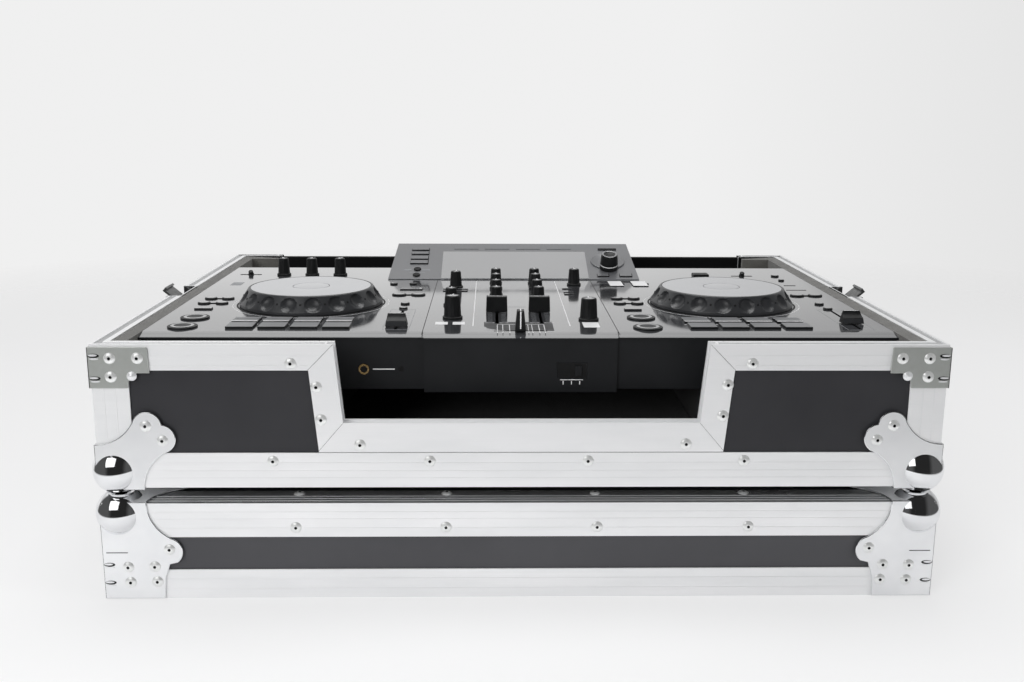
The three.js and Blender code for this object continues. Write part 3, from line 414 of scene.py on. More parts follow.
def addRib(bm, side, start, end, level):
    half = ribs["width"] / 2
    if side in ("left", "back"):
        start, end = -end, -start
    addBlock(bm, (start, level - half, 0), (end, level + half, ribs["height"]), ribs["ease"], 1,
             facing(side, onFace(side, 0, 0)), 0 if side in ("front", "back") else 1)


def addPostRib(bm, side, across, low, high):
    half = ribs["width"] / 2
    addBlock(bm, (-half, low, 0), (half, high, ribs["height"]), ribs["ease"], 1,
             facing(side, onFace(side, across, 0)), 2)


trayRibs = bmesh.new()
lidRibs = bmesh.new()
for side in sides:
    alongX = side in ("front", "back")
    length, depth = (halfX, halfY) if alongX else (halfY, halfX)
    reach = length - ribs["end"]
    aroundLatch = [(-reach, latchY - ribs["latchGap"]), (latchY + ribs["latchGap"], reach)]
    for level in ribs["foot"]:
        addRib(trayRibs, side, -reach, reach, level)
    for level in ribs["rim"]:
        gap = ribs["cutGap"] + ribs["cutSlope"] * (rimTop - level) if side == "front" else ribs["backGap"]
        for start, end in [(-reach, -gap), (gap, reach)] if alongX else aroundLatch:
            addRib(trayRibs, side, start, end, level)
    for level in ribs["lid"]:
        addRib(lidRibs, side, -reach, reach, level)
    for level in ribs["lidRim"]:
        for start, end in [(-reach, reach)] if alongX else aroundLatch:
            addRib(lidRibs, side, start, end, level)
    for inset in ribs["lidTop"]:
        line = (depth - inset) * (1 if side in ("back", "right") else -1)
        spans = [(-reach, reach), (line - ribs["topWidth"] / 2, line + ribs["topWidth"] / 2)]
        (x0, x1), (y0, y1) = spans if alongX else reversed(spans)
        addBlock(lidRibs, (x0, y0, lidHeight), (x1, y1, lidHeight + ribs["height"]), ribs["ease"], 1, None,
                 0 if alongX else 1)
    for inset in ribs["post"]:
        for way in (-1, 1):
            addPostRib(trayRibs, side, way * (length - inset), *ribs["trayPost"])
            addPostRib(lidRibs, side, way * (length - inset), *ribs["lidPost"])
makePiece("tray_edging_ribs", trayRibs, aluSet, "tray")
makePiece("lid_edging_ribs", lidRibs, aluSet, "lid")
print("ribs made")


# Boards: laminate faces with eased edges, plywood plies on faces small enough to be a cut edge
board = dict(ease=0.3, panelEase=0.6, cutEdge=2500)


def boardFace(face):
    return 0 if face.calc_area() > board["cutEdge"] else 1


def makeBoard(node, skin, body):
    easedNode(node, board["ease"], [skin, plyEdge], body, choose=boardFace, steps=1)


makeBoard("lid_top_panel", lidTopShadeLaminate, "lid")
for side in sides:
    makeBoard(f"lid_{side}_wall", lidLaminate, "lid")
makeBoard("tray_floor_panel", laminate, "tray")
for side in sides:
    makeBoard(f"tray_{side}_wall", laminate, "tray")
easedNode("rear_access_panel", board["panelEase"], [blackBoardAndLipShade], "rear_panel")


# Rivets: a dome with a drilled middle, painted near black as shade. Those of the corners are insets, the
# others are places on a side
rivet = dict(profile=[(0, 0.3), (1.25, 0.3), (1.45, 1.75), (2.4, 1.8), (3.9, 1.35), (5.0, 0.6), (5.4, 0)],
             bands=[1, 1, 0, 0, 0, 0], steps=20, bracket=[(18.4, 12.7), (43.2, 12.7), (18.5, 30)],
             ear=[(46.5, 60), (61, 46)], leg=[(21.6, 32), (46.5, 32.5), (23, 16.8), (48, 17.4)],
             front=[(-210, 228), (210, 228), (-187.5, 206), (-184, 175), (188.3, 208), (185, 178.5),
                    (-149, 151), (151.9, 151.6)],
             foot=(-229.4, -84.9, 61.4, 206.6), footLevel=135.4, lid=(-210.7, -70.6, 71.2, 213.7),
             lidLevel=70.4, lidTop=(364.5, 269.5), back=(-262, -90, 90, 262), backLevel=157,
             flank=[(-150, 132), (0, 130), (150, 132)], flankRim=(-165, -85, 70, 165), flankRimLevel=230,
             flankTop=(-150, 150))
plateDepth = 1.8
trayRivets = bmesh.new()
lidRivets = bmesh.new()


def addRivet(bm, side, point):
    addTurned(bm, rivet["profile"], rivet["steps"], facing(side, point), bands=rivet["bands"])


def addRivetPair(bm, signX, signY, inset, level):
    end, flank = "front" if signY < 0 else "back", "left" if signX < 0 else "right"
    addRivet(bm, end, onFace(end, signX * (halfX - inset), level, plateDepth))
    addRivet(bm, flank, onFace(flank, signY * (halfY - inset), level, plateDepth))


for signX, signY in cornerSigns:
    for u, w in rivet["bracket"]:
        addRivetPair(trayRivets, signX, signY, u, rimTop - w)
    for u, w in rivet["ear"]:
        addRivetPair(trayRivets, signX, signY, u, trayBottom + w)
        x, y = signX * (halfX - u), signY * (halfY - w)
        addRivet(trayRivets, "bottom", (x, y, trayBottom - plateDepth))
        addRivet(lidRivets, "top", (x, y, lidHeight + plateDepth))
    u, w = rivet["ear"][1]
    addRivetPair(lidRivets, signX, signY, u, lidHeight - w + 1)
    for u, level in rivet["leg"]:
        addRivetPair(lidRivets, signX, signY, u, level)
for across, level in rivet["front"]:
    addRivet(trayRivets, "front", onFace("front", across, level))
for across in rivet["foot"]:
    for side in ("front", "back"):
        addRivet(trayRivets, side, onFace(side, across, rivet["footLevel"]))
for across in rivet["lid"]:
    for side in ("front", "back"):
        addRivet(lidRivets, side, onFace(side, across, rivet["lidLevel"]))
    for way in (-1, 1):
        addRivet(lidRivets, "top", (across, way * rivet["lidTop"][1], lidHeight))
for across in rivet["back"]:
    addRivet(trayRivets, "back", onFace("back", across, rivet["backLevel"]))
for side, way in (("left", -1), ("right", 1)):
    for across, level in rivet["flank"]:
        addRivet(trayRivets, side, onFace(side, across, level))
        addRivet(lidRivets, side, onFace(side, across, rivet["lidLevel"]))
    for across in rivet["flankRim"]:
        addRivet(trayRivets, side, onFace(side, across, rivet["flankRimLevel"]))
    for across in rivet["flankTop"]:
        addRivet(lidRivets, "top", (way * rivet["lidTop"][0], across, lidHeight))
makePiece("tray_rivets", trayRivets, [rivetSteel, darkHole], "tray")
makePiece("lid_rivets", lidRivets, [rivetSteel, darkHole], "lid")
print("rivets made")


# Pressed corners: three eared plates and a ball, in insets u, v from two edges. On the lid the two upright
# plates run down into a leg, given in insets from the lid's top
ear = dict(near=47.5, far=59.5, radius=13.7, lean=75, neck=42, control=22, steps=10, start=-1.8, clear=19,
           leg=[(60.6, 34.5), (58.6, 28.3), (56.2, 21), (55.4, 13), (54.6, 0.3), (-1.8, 0.3)])


def plateOutline():
    far, near, radius, steps = ear["far"], ear["near"], ear["radius"], ear["steps"]
    lean = math.radians(ear["lean"])
    meet = math.acos((far - near) / math.sqrt(2) / radius)
    tip = (far + radius * math.cos(lean), near - radius * math.sin(lean))
    curve = []
    for i in range(steps + 1):
        t = i / steps
        a, b, c = (1 - t) ** 2, 2 * t * (1 - t), t * t
        curve.append((a * ear["neck"] + b * ear["neck"] + c * tip[0],
                      a * ear["start"] + b * ear["control"] + c * tip[1]))
    first, last = -lean, math.pi * 0.75 - meet
    for i in range(1, 2 * steps + 1):
        angle = first + (last - first) * i / (2 * steps)
        curve.append((far + radius * math.cos(angle), near + radius * math.sin(angle)))
    mirrored = [(v, u) for u, v in reversed(curve)]
    return [(ear["start"], ear["clear"]), (ear["clear"], ear["start"])] + curve + mirrored[1:]


def lidOutline():
    whole = plateOutline()
    lobe = [p for p in whole[:3 * ear["steps"] + 2] if p[1] < ear["near"] + 11 or p[0] < 50]
    return lobe + [(u, lidHeight - w) for u, w in ear["leg"]]


def cornerMatrix(signX, signY, face, up):
    matrix = Matrix.Translation((signX * halfX, signY * halfY, face))
    return matrix @ Matrix.Diagonal((-signX, -signY, up, 1))


planes = {
    "x": Matrix(((0, 0, 1, 0), (1, 0, 0, 0), (0, 1, 0, 0), (0, 0, 0, 1))),
    "y": Matrix(((1, 0, 0, 0), (0, 0, 1, 0), (0, 1, 0, 0), (0, 0, 0, 1))),
    "z": Matrix.Identity(4),
}


# The ball is one round that the plates' planes cut; the lid's is cut off flat and dished into a cup
ball = dict(radius=23.8, inset=14.4, lidInset=12.8, around=144, levels=72, cut=-0.6, heart=0.5,
            cupRise=20.0, cupDepth=1.6, lip=0.7)


def ballProfile(lid):
    radius, levels = ball["radius"], ball["levels"]
    top = math.asin(ball["cupRise"] / radius) if lid else math.pi / 2
    arc = [top - (top + math.pi / 2) * i / levels for i in range(levels + 1)]
    profile = [(radius * math.cos(a), radius * math.sin(a)) for a in arc]
    if lid:
        mouth, brim = profile[0][0] - ball["lip"], ball["cupRise"]
        dish = [(mouth * i / 10, brim - ball["cupDepth"] * (1 - (i / 10) ** 2)) for i in range(11)]
        profile = dish + [(mouth + 0.25, brim + 0.1)] + profile[1:]
    else:
        profile[0] = (0, radius)
    profile[-1] = (0, -radius)
    return profile


def addBall(bm, matrix, lid):
    part = bmesh.new()
    addTurned(part, ballProfile(lid), ball["around"])
    inset, cut = ball["inset"], ball["cut"]
    # Local height is an inset from the lid's top or the tray's foot, so the outward side is down
    depth = ball["lidInset"] if lid else inset
    place = Matrix(((1, 0, 0, inset), (0, 1, 0, inset), (0, 0, -1, depth), (0, 0, 0, 1)))
    bmesh.ops.transform(part, matrix=place, verts=part.verts)
    for normal in ((1, 0, 0), (0, 1, 0), (0, 0, 1)):
        geom = part.verts[:] + part.edges[:] + part.faces[:]
        bmesh.ops.bisect_plane(part, geom=geom, dist=0.0005, plane_co=(cut, cut, cut), plane_no=normal)
    hidden = [f for f in part.faces if min(f.calc_center_median()) > cut]
    bmesh.ops.delete(part, geom=hidden, context="FACES")
    rim = [e for e in part.edges if e.is_boundary]
    drawn = bmesh.ops.extrude_edge_only(part, edges=rim)["geom"]
    ends = [v for v in drawn if isinstance(v, bmesh.types.BMVert)]
    bmesh.ops.pointmerge(part, verts=ends, merge_co=(ball["heart"],) * 3)
    merge(bm, part, matrix)


def addCorner(bm, matrix, lid):
    outline = plateOutline()
    for axis in planes:
        shape = lidOutline() if lid and axis != "z" else outline
        addPrism(bm, shape, -plateDepth, -0.3, 0.7, 3, matrix @ planes[axis])
    bm.faces.ensure_lookup_table()
    for face in bm.faces:
        if max(abs(n) for n in face.normal) > 0.999 and face.calc_area() > 100:
            face.material_index = 2
    addBall(bm, matrix, lid)


# Slots in the plates: a dark oval, painted shade of the opening, with a bright raised one in it and another
# above, and how far in from the end of the plate the slots of the lid's corners and of the rim's brackets lie
slots = dict(inset=4.3, steps=24, lid=[lidHeight - 34.5, lidHeight - 16.5], bracket=[10.5, 31.5],
             ovals=[dict(size=(5.2, 1.9), shift=(0, 0), depths=(-1.95, -1.7), edge=(0, 1), material=1),
                    dict(size=(4.0, 1.0), shift=(-0.7, -0.5), depths=(-2.5, -1.75), edge=(0.25, 2),
                         material=2),
                    dict(size=(4.2, 0.9), shift=(0.4, 2.9), depths=(-2.3, -1.75), edge=(0.25, 2),
                         material=2)])


def addSlots(bm, matrix, levels):
    for level in levels:
        for axis in ("x", "y"):
            for oval in slots["ovals"]:
                (wide, high), (shiftU, shiftW) = oval["size"], oval["shift"]
                turns = [math.tau * i / slots["steps"] for i in range(slots["steps"])]
                outline = [(slots["inset"] + shiftU + wide * math.cos(a), level + shiftW + high * math.sin(a))
                           for a in turns]
                addPrism(bm, outline, *oval["depths"], *oval["edge"], matrix @ planes[axis], oval["material"])


# The rim's bracket, and the dark line on the lid's upright plates
bracket = dict(outline=[(-1.8, 2.7), (51.6, 2.7), (52.5, 3.6), (53.4, 26.7), (42, 26.7), (34, 34.7),
                        (33.6, 40.2), (33, 40.7), (-1.8, 40.7)],
               dome=[(0, 2.3), (1.2, 2.0), (2.6, 1.2), (4.2, 0.3), (4.6, -0.3)], domeAt=(37.2, 29.2, -1.8))
score = ((2, 47.7, -1.9), (22, 48.5, -1.7))


def makeCorner(name, bm, skin, body, node):
    makePiece(name, bm, [skin, darkHole, plateChrome], body, replaces=(node,), crease=40)


for name, (signX, signY) in zip(("front_left", "front_right", "back_left", "back_right"), cornerSigns):
    bm = bmesh.new()
    addCorner(bm, cornerMatrix(signX, signY, trayBottom, 1), False)
    makeCorner(f"tray_ball_corner_{name}", bm, chrome, "tray", f"tray_corner_{name}")
    bm = bmesh.new()
    matrix = cornerMatrix(signX, signY, lidHeight, -1)
    addCorner(bm, matrix, True)
    addSlots(bm, matrix, slots["lid"])
    for axis in ("x", "y"):
        addBlock(bm, *score, 0, 1, matrix @ planes[axis], 1)
    makeCorner(f"lid_ball_corner_{name}", bm, chrome, "lid", f"lid_corner_{name}")
    bm = bmesh.new()
    matrix = cornerMatrix(signX, signY, rimTop, -1)
    for axis in ("x", "y"):
        plane = matrix @ planes[axis]
        addPrism(bm, bracket["outline"], -plateDepth, -0.3, 0.5, 3, plane)
        spot = Matrix.Translation(bracket["domeAt"]) @ Matrix.Diagonal((1, 1, -1, 1))
        addTurned(bm, bracket["dome"], 24, plane @ spot, 2)
    addSlots(bm, matrix, slots["bracket"])
    makeCorner(f"rim_bracket_{name}", bm, zinc, "tray", f"tray_rim_bracket_{name}")
print("corners made")


# Mitre seams on the front trim: x and height of both ends, as they are at the right
seams = bmesh.new()
mitres = [((164, 172), (188, 144)), ((171, 246), (195, 221.5))]
for way in (-1, 1):
    for (x0, z0), (x1, z1) in mitres:
        length = Vector((way * (x1 - x0), 0, z1 - z0)).length
        angle = math.atan2(z1 - z0, way * (x1 - x0))
        matrix = Matrix.Translation((way * x0, -halfY - 0.05, z0)) @ Matrix.Rotation(-angle, 4, "Y")
        addBlock(seams, (0.6, -0.03, -0.12), (length - 0.3, 0.1, 0.12), 0, 1, matrix)
makePiece("trim_mitre_seams", seams, [darkHole], "tray")

# Foam, latches and handles. Within cornerX of the middle the surround rises no higher than its top here
foam = dict(top=deckTop + 0.2, cornerX=366.2)


def foamLevel(point):
    raised = abs(point.x) < foam["cornerX"] and point.z > foam["top"]
    return Vector((point.x, point.y, foam["top"])) if raised else point


# The bed under the unit, in the near black foam: painted shade
easedNode("foam_bed", 2.2, [foamBlackAndShade], "tray", steps=3)
easedNode("foam_surround", 1.6, [foamGrey], "tray", steps=3, settle=foamLevel)
easedNode("lid_foam_lining", 1.8, [foamBlackAndShade], "lid", steps=3)
for name in ("left", "right"):
    easedNode(f"latch_dish_{name}", 0.35, [chrome], "tray")
    easedNode(f"latch_claw_{name}", 0.5, [wornChrome], f"claw_{name}")
    easedNode(f"latch_wing_{name}", 0.5, [chrome], f"wing_{name}")
    easedNode(f"lid_latch_keeper_{name}", 0.35, [zinc], "lid")
    easedNode(f"handle_plate_{name}", 0.5, [zinc], "tray")
    easedNode(f"handle_bail_{name}", 0.6, [knobBlack], f"bail_{name}")
print("case fittings made")

# Deck unit
easedNode("unit_chassis", 0.8, [shellPlastic], "unit")
easedNode("unit_deck_plate", 0.5, [deckSheet, shellPlastic], "unit",
          choose=lambda face: 0 if face.normal.z > 0.5 else 1, steps=3)
# The housing's front-facing faces take the paler grey ink: painted light
easedNode("unit_screen_housing", 1.2, [housingSkin, greyInkAndLitFace], "unit", steps=3,
          choose=lambda face: 1 if face.normal.y < -0.36 else 0)
for slot in nodes["unit_circuit_board"].material_slots:
    slot.material = boardGreen

# Jog wheels: a skirt with finger dimples, a top plate and a flush ring round it. The brim is in insets from
# the plate's edge and drops from the top, the disc in radii and drops; dot is a point at each finger grip
jog = dict(x=225.5, y=-73, skirt=77.5, top=67.5, foot=243.3, height=19, lip=3, dimples=18, dimple=8.4,
           depth=4.6, middle=0.47, levels=22, steps=360,
           brim=[(0.9, 0), (1.8, 0), (2.1, 0.35), (2.6, 0.35), (2.9, 0.05)],
           disc=[(37.125, 0.02), (20.4, 0), (20.0, 0.2), (19.4, 0.2), (19.0, 0), (0, 0)],
           dot=[(0, 0.25), (1.0, 0.25), (1.25, -0.3)], dotRadius=72.6, dotLevel=10.9)


def jogShape(radius, height, angle):
    run = jog["skirt"] - jog["top"]
    share = (jog["skirt"] - radius) / run
    if not 0 < share < 1:
        return radius, height
    pitch = math.tau / jog["dimples"]
    around = (angle + pitch / 2) % pitch - pitch / 2
    sideways = around * radius
    upward = (share - jog["middle"]) * math.hypot(run, jog["height"] - jog["lip"])
    distance = math.hypot(sideways, upward) / jog["dimple"]
    if distance >= 1:
        return radius, height
    return radius - jog["depth"] * (1 - distance ** 2) ** 0.5, height - 0.5 * (1 - distance)


def addJog(name, way):
    bm = bmesh.new()
    skirt, top, high = jog["skirt"], jog["top"], jog["height"]
    flank = []
    for i in range(jog["levels"] + 1):
        share = i / jog["levels"]
        flank.append((skirt - share * (skirt - top), jog["lip"] + share * (high - jog["lip"] - 0.6)))
    profile = [(0, 0), (skirt - 0.6, 0), (skirt, 0.5), *flank]
    profile += [(top - inset, high - drop) for inset, drop in jog["brim"]]
    profile += [(radius, high - drop) for radius, drop in jog["disc"]]
    bands = [0] * (len(profile) - 7) + [1, 1, 1, 2, 1, 1]
    matrix = Matrix.Translation((way * jog["x"], jog["y"], jog["foot"]))
    addTurned(bm, profile, jog["steps"], matrix, bands=bands, shape=jogShape)
    lean = math.atan2(skirt - top, high - jog["lip"])
    for k in range(jog["dimples"]):
        angle = math.tau * (k + 0.5) / jog["dimples"]
        radius = jog["dotRadius"]
        spot = Vector((radius * math.cos(angle), radius * math.sin(angle), jog["dotLevel"]))
        turn = Matrix.Rotation(angle, 4, "Z") @ Matrix.Rotation(math.pi / 2 - lean, 4, "Y")
        addTurned(bm, jog["dot"], 10, matrix @ Matrix.Translation(spot) @ turn, 2)
    makePiece(f"jog_{name}", bm, [jogRubber, jogPlate, deepBlack], f"jog_{name}",
              replaces=(f"jog_wheel_{name}",), crease=35)


addJog("left", -1)
addJog("right", 1)
print("jog wheels made")


# Knobs: a fluted body on a collar, with a white pointer. Each of the large ones is x, y, radius and height
knob = dict(flute=0.35, dip=0.4, steps=64, stem=2.6, back=(-292.4, 125.2), backPitch=35.7,
            backPointers=(0.3, 0, -0.4),
            large=[(-70.5, 31, 7.2, 20), (-72, -87, 7.2, 20), (-68, -158, 9.0, 24), (72, 51, 7.2, 20),
                   (71, -167, 9.0, 23)],
            channelX=(-22.7, 24), channelY=(62, 22, -23, -70))


def knobForm(flutes, depth, low, high):
    def form(radius, height, angle):
        if low < height < high:
            return radius - depth * (0.5 + 0.5 * math.cos(flutes * angle)), height
        return radius, height
    return form


def addKnob(bm, matrix, foot, top, height, collar, flutes=16, pointer=0.0, shaft=0.0):
    dip, stem = knob["dip"], knob["stem"]
    profile = [(0, -shaft), (stem, -shaft), (stem, 0.3), (collar, 0.3), (collar, 1.8), (collar - 0.5, 2.3),
               (foot, 2.5), (foot - 0.02, 3.2), (foot - (foot - top) * 0.5, height * 0.55),
               (top, height - 1.6),
               (top - 0.35, height - 0.6), (top - 1.2, height), (top - 2.2, height),
               (top - 2.6, height - dip), (0, height - dip)]
    # The dished end face takes the grey gloss: painted sheen
    bands = [0] * (len(profile) - 3) + [2, 2]
    form = knobForm(flutes, knob["flute"], 3.0, height - 1)
    addTurned(bm, profile, knob["steps"], matrix, 0, bands=bands, shape=form)
    spin = matrix @ Matrix.Rotation(pointer, 4, "Z")
    addBlock(bm, (-0.5, top * 0.25, height - dip), (0.5, top - 1.0, height + 0.12), 0.1, 1, spin, 1)
    addBlock(bm, (-0.5, top - 1.1, height * 0.62), (0.5, top + 0.12, height + 0.1), 0.1, 1, spin, 1)


for k, pointer in enumerate(knob["backPointers"]):
    bm = bmesh.new()
    x, y = knob["back"]
    matrix = Matrix.Translation((x + knob["backPitch"] * k, y, deckTop))
    addKnob(bm, matrix, 7.4, 6.4, 22, collar=8.8, pointer=pointer, shaft=5)
    makePiece(f"knob_rear_{k + 1}", bm, [knobBlack, inkWhite, paintedSheenGrey], f"knob_back_{k + 1}",
              replaces=(f"knob_back_{k + 1}",))

# The sloping top of the display housing: a point low on it, and its slope
housing = dict(y=90, z=244.1, slope=math.atan2(31.7, 97))


def onHousing(x, up):
    slope = housing["slope"]
    point = (x, housing["y"] + up * math.cos(slope), housing["z"] + up * math.sin(slope))
    return Matrix.Translation(point) @ Matrix.Rotation(slope, 4, "X")


# The selector: a wide foot, a pale ring and a black barrel with a dished end, its rim painted sheen in grey
# gloss
selector = dict(x=121.4, up=29.4, steps=72, flutes=24, flute=0.25, fluted=(8, 18.7),
                profile=[(0, -4.5), (2.6, -4.5), (2.6, 0.3), (11.2, 0.3), (11.5, 0.8), (11.5, 4.9),
                         (11.1, 5.3), (11.0, 5.4), (11.0, 6.7), (11.1, 6.8), (11.2, 7.4), (10.4, 18.6),
                         (9.6, 20.3), (8.6, 20.6), (7.4, 20.3), (5.5, 19.2), (0, 18.6)],
                bands=[0, 0, 0, 0, 0, 0, 0, 1, 0, 0, 0, 0, 2, 2, 0, 0])
bm = bmesh.new()
addTurned(bm, selector["profile"], selector["steps"], onHousing(selector["x"], selector["up"]),
          bands=selector["bands"], shape=knobForm(selector["flutes"], selector["flute"], *selector["fluted"]))
makePiece("selector_dial", bm, [knobBlack, inkWhite, paintedSheenGrey], "selector",
          replaces=("selector_knob",))

mixerKnobs = bmesh.new()
for x, y, radius, height in knob["large"]:
    addKnob(mixerKnobs, Matrix.Translation((x, y, deckTop)), radius, radius - 1.1, height,
            collar=radius + 1.3, pointer=0.05 if x > 0 else -0.1)
for x in knob["channelX"]:
    for y in knob["channelY"]:
        addKnob(mixerKnobs, Matrix.Translation((x, y, deckTop)), 6.9, 6.0, 18.5, collar=7.6, flutes=14)
makePiece("unit_mixer_knobs", mixerKnobs, [knobBlack, inkWhite, paintedSheenGrey], "unit")
print("knobs made")


# Fader caps, each a side outline drawn across and narrowed towards its top; line is how far back of the
# middle the white line lies
capForms = {
    "tempo": dict(wide=22, narrow=17.4, line=2.1,
                  side=[(-6.6, 0), (-6.4, 5.2), (-5.2, 6.2), (-2, 7.6), (0.2, 9.6), (1.4, 12), (2.8, 12),
                        (3.8, 9), (4.8, 4.6), (5.4, 0)]),
    "channel": dict(wide=22.7, narrow=21.6, line=0,
                    side=[(-5, 0), (-4.6, 15.2), (-4, 16), (4, 16), (4.6, 15.2), (5, 0)]),
    "crossfader": dict(wide=10.6, narrow=6.8,
                       side=[(-7, 0), (-5.6, 19.2), (-4.8, 20), (4.8, 20), (5.6, 19.2), (7, 0)]),
}
capFoot = deckTop + 0.8


def addCap(bm, x, y, kind):
    form = capForms[kind]
    part = bmesh.new()
    addPrism(part, form["side"], -0.5, 0.5, 0, 1, planes["x"])
    high = max(v.co.z for v in part.verts)
    for v in part.verts:
        v.co.x *= form["wide"] + (form["narrow"] - form["wide"]) * v.co.z / high
    bevelled(part, 0.5, 2, 40)
    # The tempo cap's low front face is painted lighter in the dark grey: painted light where it faces the
    # bright floor
    if kind == "tempo":
        part.normal_update()
        for face in part.faces:
            if face.normal.y < -0.9 and face.calc_center_median().z < 5.5:
                face.material_index = 2
    merge(bm, part, Matrix.Translation((x, y, capFoot)))
    if kind == "crossfader":
        addBlock(bm, (x - 0.55, y - 4.6, capFoot + 19.9), (x + 0.55, y + 4.6, capFoot + 20.15), 0, 1, None, 1)
        lean = Matrix.Translation((x, y - 7, capFoot)) @ Matrix.Rotation(-math.atan2(1.4, 19.2), 4, "X")
        addBlock(bm, (-0.55, -0.12, 2.5), (0.55, 0.4, 19.4), 0, 1, lean, 1)
        return
    reach, line, top = form["narrow"] * 0.44, y + form["line"], capFoot + high
    addBlock(bm, (x - reach, line - 0.35, top - 0.3), (x + reach, line + 0.35, top + 0.1), 0, 1, None, 1)


# Name, place of the joint's stem, y of the cap, kind, and the stem's half sizes
caps = [("tempo_left", -121.8, -203, -199.3, "tempo", (1, 2.2)),
        ("tempo_right", 335.4, -183, -183.3, "tempo", (1, 2.2)),
        ("channel_fader_1", -22.5, -122, -122, "channel", (1, 3)),
        ("channel_fader_2", 22.5, -122, -122, "channel", (1, 3)),
        ("crossfader", 0, -222, -222, "crossfader", (3, 1))]
stemLow, stemHigh = 238.4, 246
for name, x, y, capY, kind, (halfWide, halfLong) in caps:
    bm = bmesh.new()
    addCap(bm, x, capY, kind)
    addBlock(bm, (x - halfWide, y - halfLong, stemLow), (x + halfWide, y + halfLong, stemHigh), 0.1, 1)
    makePiece(f"{name}_cap", bm, [knobBlack, inkWhite, darkRubberAndLitFace], name, replaces=(name,))
print("caps made")

# Printed lines and low trims on the deck. Lines that run from back to front are given by x and a span of y
printed = dict(mixerX=(-46.5, 50), mixerSpan=(-198, 77), seamX=(-94.8, 94.8), seamSpan=(-240, 86),
               levels=(-10.2, 9.8, -95.5, 35.4), faderX=(-22.5, 22.5), ticks=11, tickPitch=6, firstTick=-182,
               faderEnd=(-182.6, -181.6), slotHalf=2.4,
               panel=[(-35.5, -178), (-35.5, -200), (-31, -210), (-22, -217.5), (-12, -220.4)],
               panelFront=-220.4, panelBack=-178, notchEnd=-186, panelRight=33,
               comb=(-22.4, -17.0, -10.3, 8.0, 11.8, 18.6, 24.0),
               combSpans=[(-231.5, -223.6), (-220.6, -192)],
               labels=[(-84.4, -71.9, -190.9, -178.2), (-67, -54.8, -190.9, -178.2),
                       (63.2, 79.4, -204.6, -179.5)],
               greyLabel=(-342.7, -330, 45.2, 66), tempo=[(-121.8, -216, -112), (335.4, -216, -110)],
               tempoHalf=13, tempoTicks=8, tempoPitch=12,
               rings=[(84.9, 84.3, 0.06, 0), (80.5, 78.4, 0.12, 2)])
prints = bmesh.new()


def addLine(x0, x1, y0, y1, material=0, lift=0.06):
    addBlock(prints, (x0, y0, deckTop - 0.02), (x1, y1, deckTop + lift), 0, 1, None, material)


for x in printed["mixerX"]:
    addLine(x - 0.5, x + 0.5, *printed["mixerSpan"])
for x in printed["seamX"]:
    addLine(x - 0.35, x + 0.35, *printed["seamSpan"], 2)
# The strip between the channels, in grey gloss: painted reflection
addLine(*printed["levels"], 4, 0.1)
for x in printed["faderX"]:
    for k in range(printed["ticks"]):
        y = printed["firstTick"] + printed["tickPitch"] * k
        addLine(x - 9.5, x - 4.5, y - 0.25, y + 0.25, 1)
        addLine(x + 4.5, x + 9.5, y - 0.25, y + 0.25, 1)
    addLine(x - 11.6, x - printed["slotHalf"], *printed["faderEnd"])
    addLine(x + printed["slotHalf"], x + 11.6, *printed["faderEnd"])
# The crossfader's panel, its back edge notched at the channel faders' slots, and its comb
half, back, end = printed["slotHalf"], printed["panelBack"], printed["notchEnd"]
notches = [p for x in printed["faderX"][::-1]
           for p in ((x + half, back), (x + half, end), (x - half, end), (x - half, back))]
panelX, near = printed["panelRight"], printed["panelFront"]
panel = [(panelX, near), (panelX, back), *notches, *printed["panel"]]
addPrism(prints, panel, deckTop - 0.02, deckTop + 0.05, 0, 1, None, 3)
addLine(-12, panelX, -220.6, -220, 2, 0.1)
addLine(-22.5, 24, -190.6, -189.6, 0, 0.12)
for x in printed["comb"]:
    for span in printed["combSpans"]:
        addLine(x - 0.35, x + 0.35, *span, 0, 0.12)
# Labels left and right of the mixer, thin frames and scales at the tempo sliders
for label in printed["labels"]:
    addLine(*label, 0, 0.15)
addLine(*printed["greyLabel"], 1, 0.15)
for x, y0, y1 in printed["tempo"]:
    for edge in (x - printed["tempoHalf"], x + printed["tempoHalf"]):
        addLine(edge - 0.25, edge + 0.25, y0, y1, 1)
    for y in (y0, y1):
        addLine(x - printed["tempoHalf"], x + printed["tempoHalf"], y - 0.25, y + 0.25, 1)
    for k in range(printed["tempoTicks"]):
        y = y0 + 12 + printed["tempoPitch"] * k
        addLine(x + 5, x + 9, y, y + 0.5, 1)
for way in (-1, 1):
    for outer, inner, height, material in printed["rings"]:
        ring = [(inner, -0.02), (outer, -0.02), (outer, height), (inner, height), (inner, -0.02)]
        addTurned(prints, ring, 72, Matrix.Translation((way * jog["x"], jog["y"], deckTop)), material)
makePiece("unit_printed_lines", prints, [inkWhite, greyInkAndLitFace, deepBlack, darkRubberAndLitFace, paintedSheenGrey], "unit")

# Buttons and pads: grey tops on black sides, the buttons' grey gloss being painted sheen. Each side of the
# deck has two pairs of small buttons, each pair joined by a bar, one bar button, two large round ones and
# four columns of pads
deckKeys = [dict(small=[(-342, -47.5), (-323, -47.5), (-342.5, -76.5), (-323, -76.5)], bar=(-334.5, -110),
                 rounds=[(-330.5, -159), (-331, -204)], padX=(-287.9, -256.5, -225.1, -193.7)),
            dict(small=[(113.6, -44.4), (132.8, -44.4), (113.6, -74.5), (133, -74.5)], bar=(123.2, -112.5),
                 rounds=[(126, -157), (126.1, -207)], padX=(167.4, 198.7, 230, 261.3))]
# A column of pads: shift of the middle from its x, middle y, width, length, height and bevel
padRows = [(13.6, -201.7, 26.6, 22, 2.4, 0.8), (12.6, -176.2, 26.6, 10.4, 2.0, 0.6),
           (12.6, -163.6, 26.6, 7.6, 1.6, 0.6)]
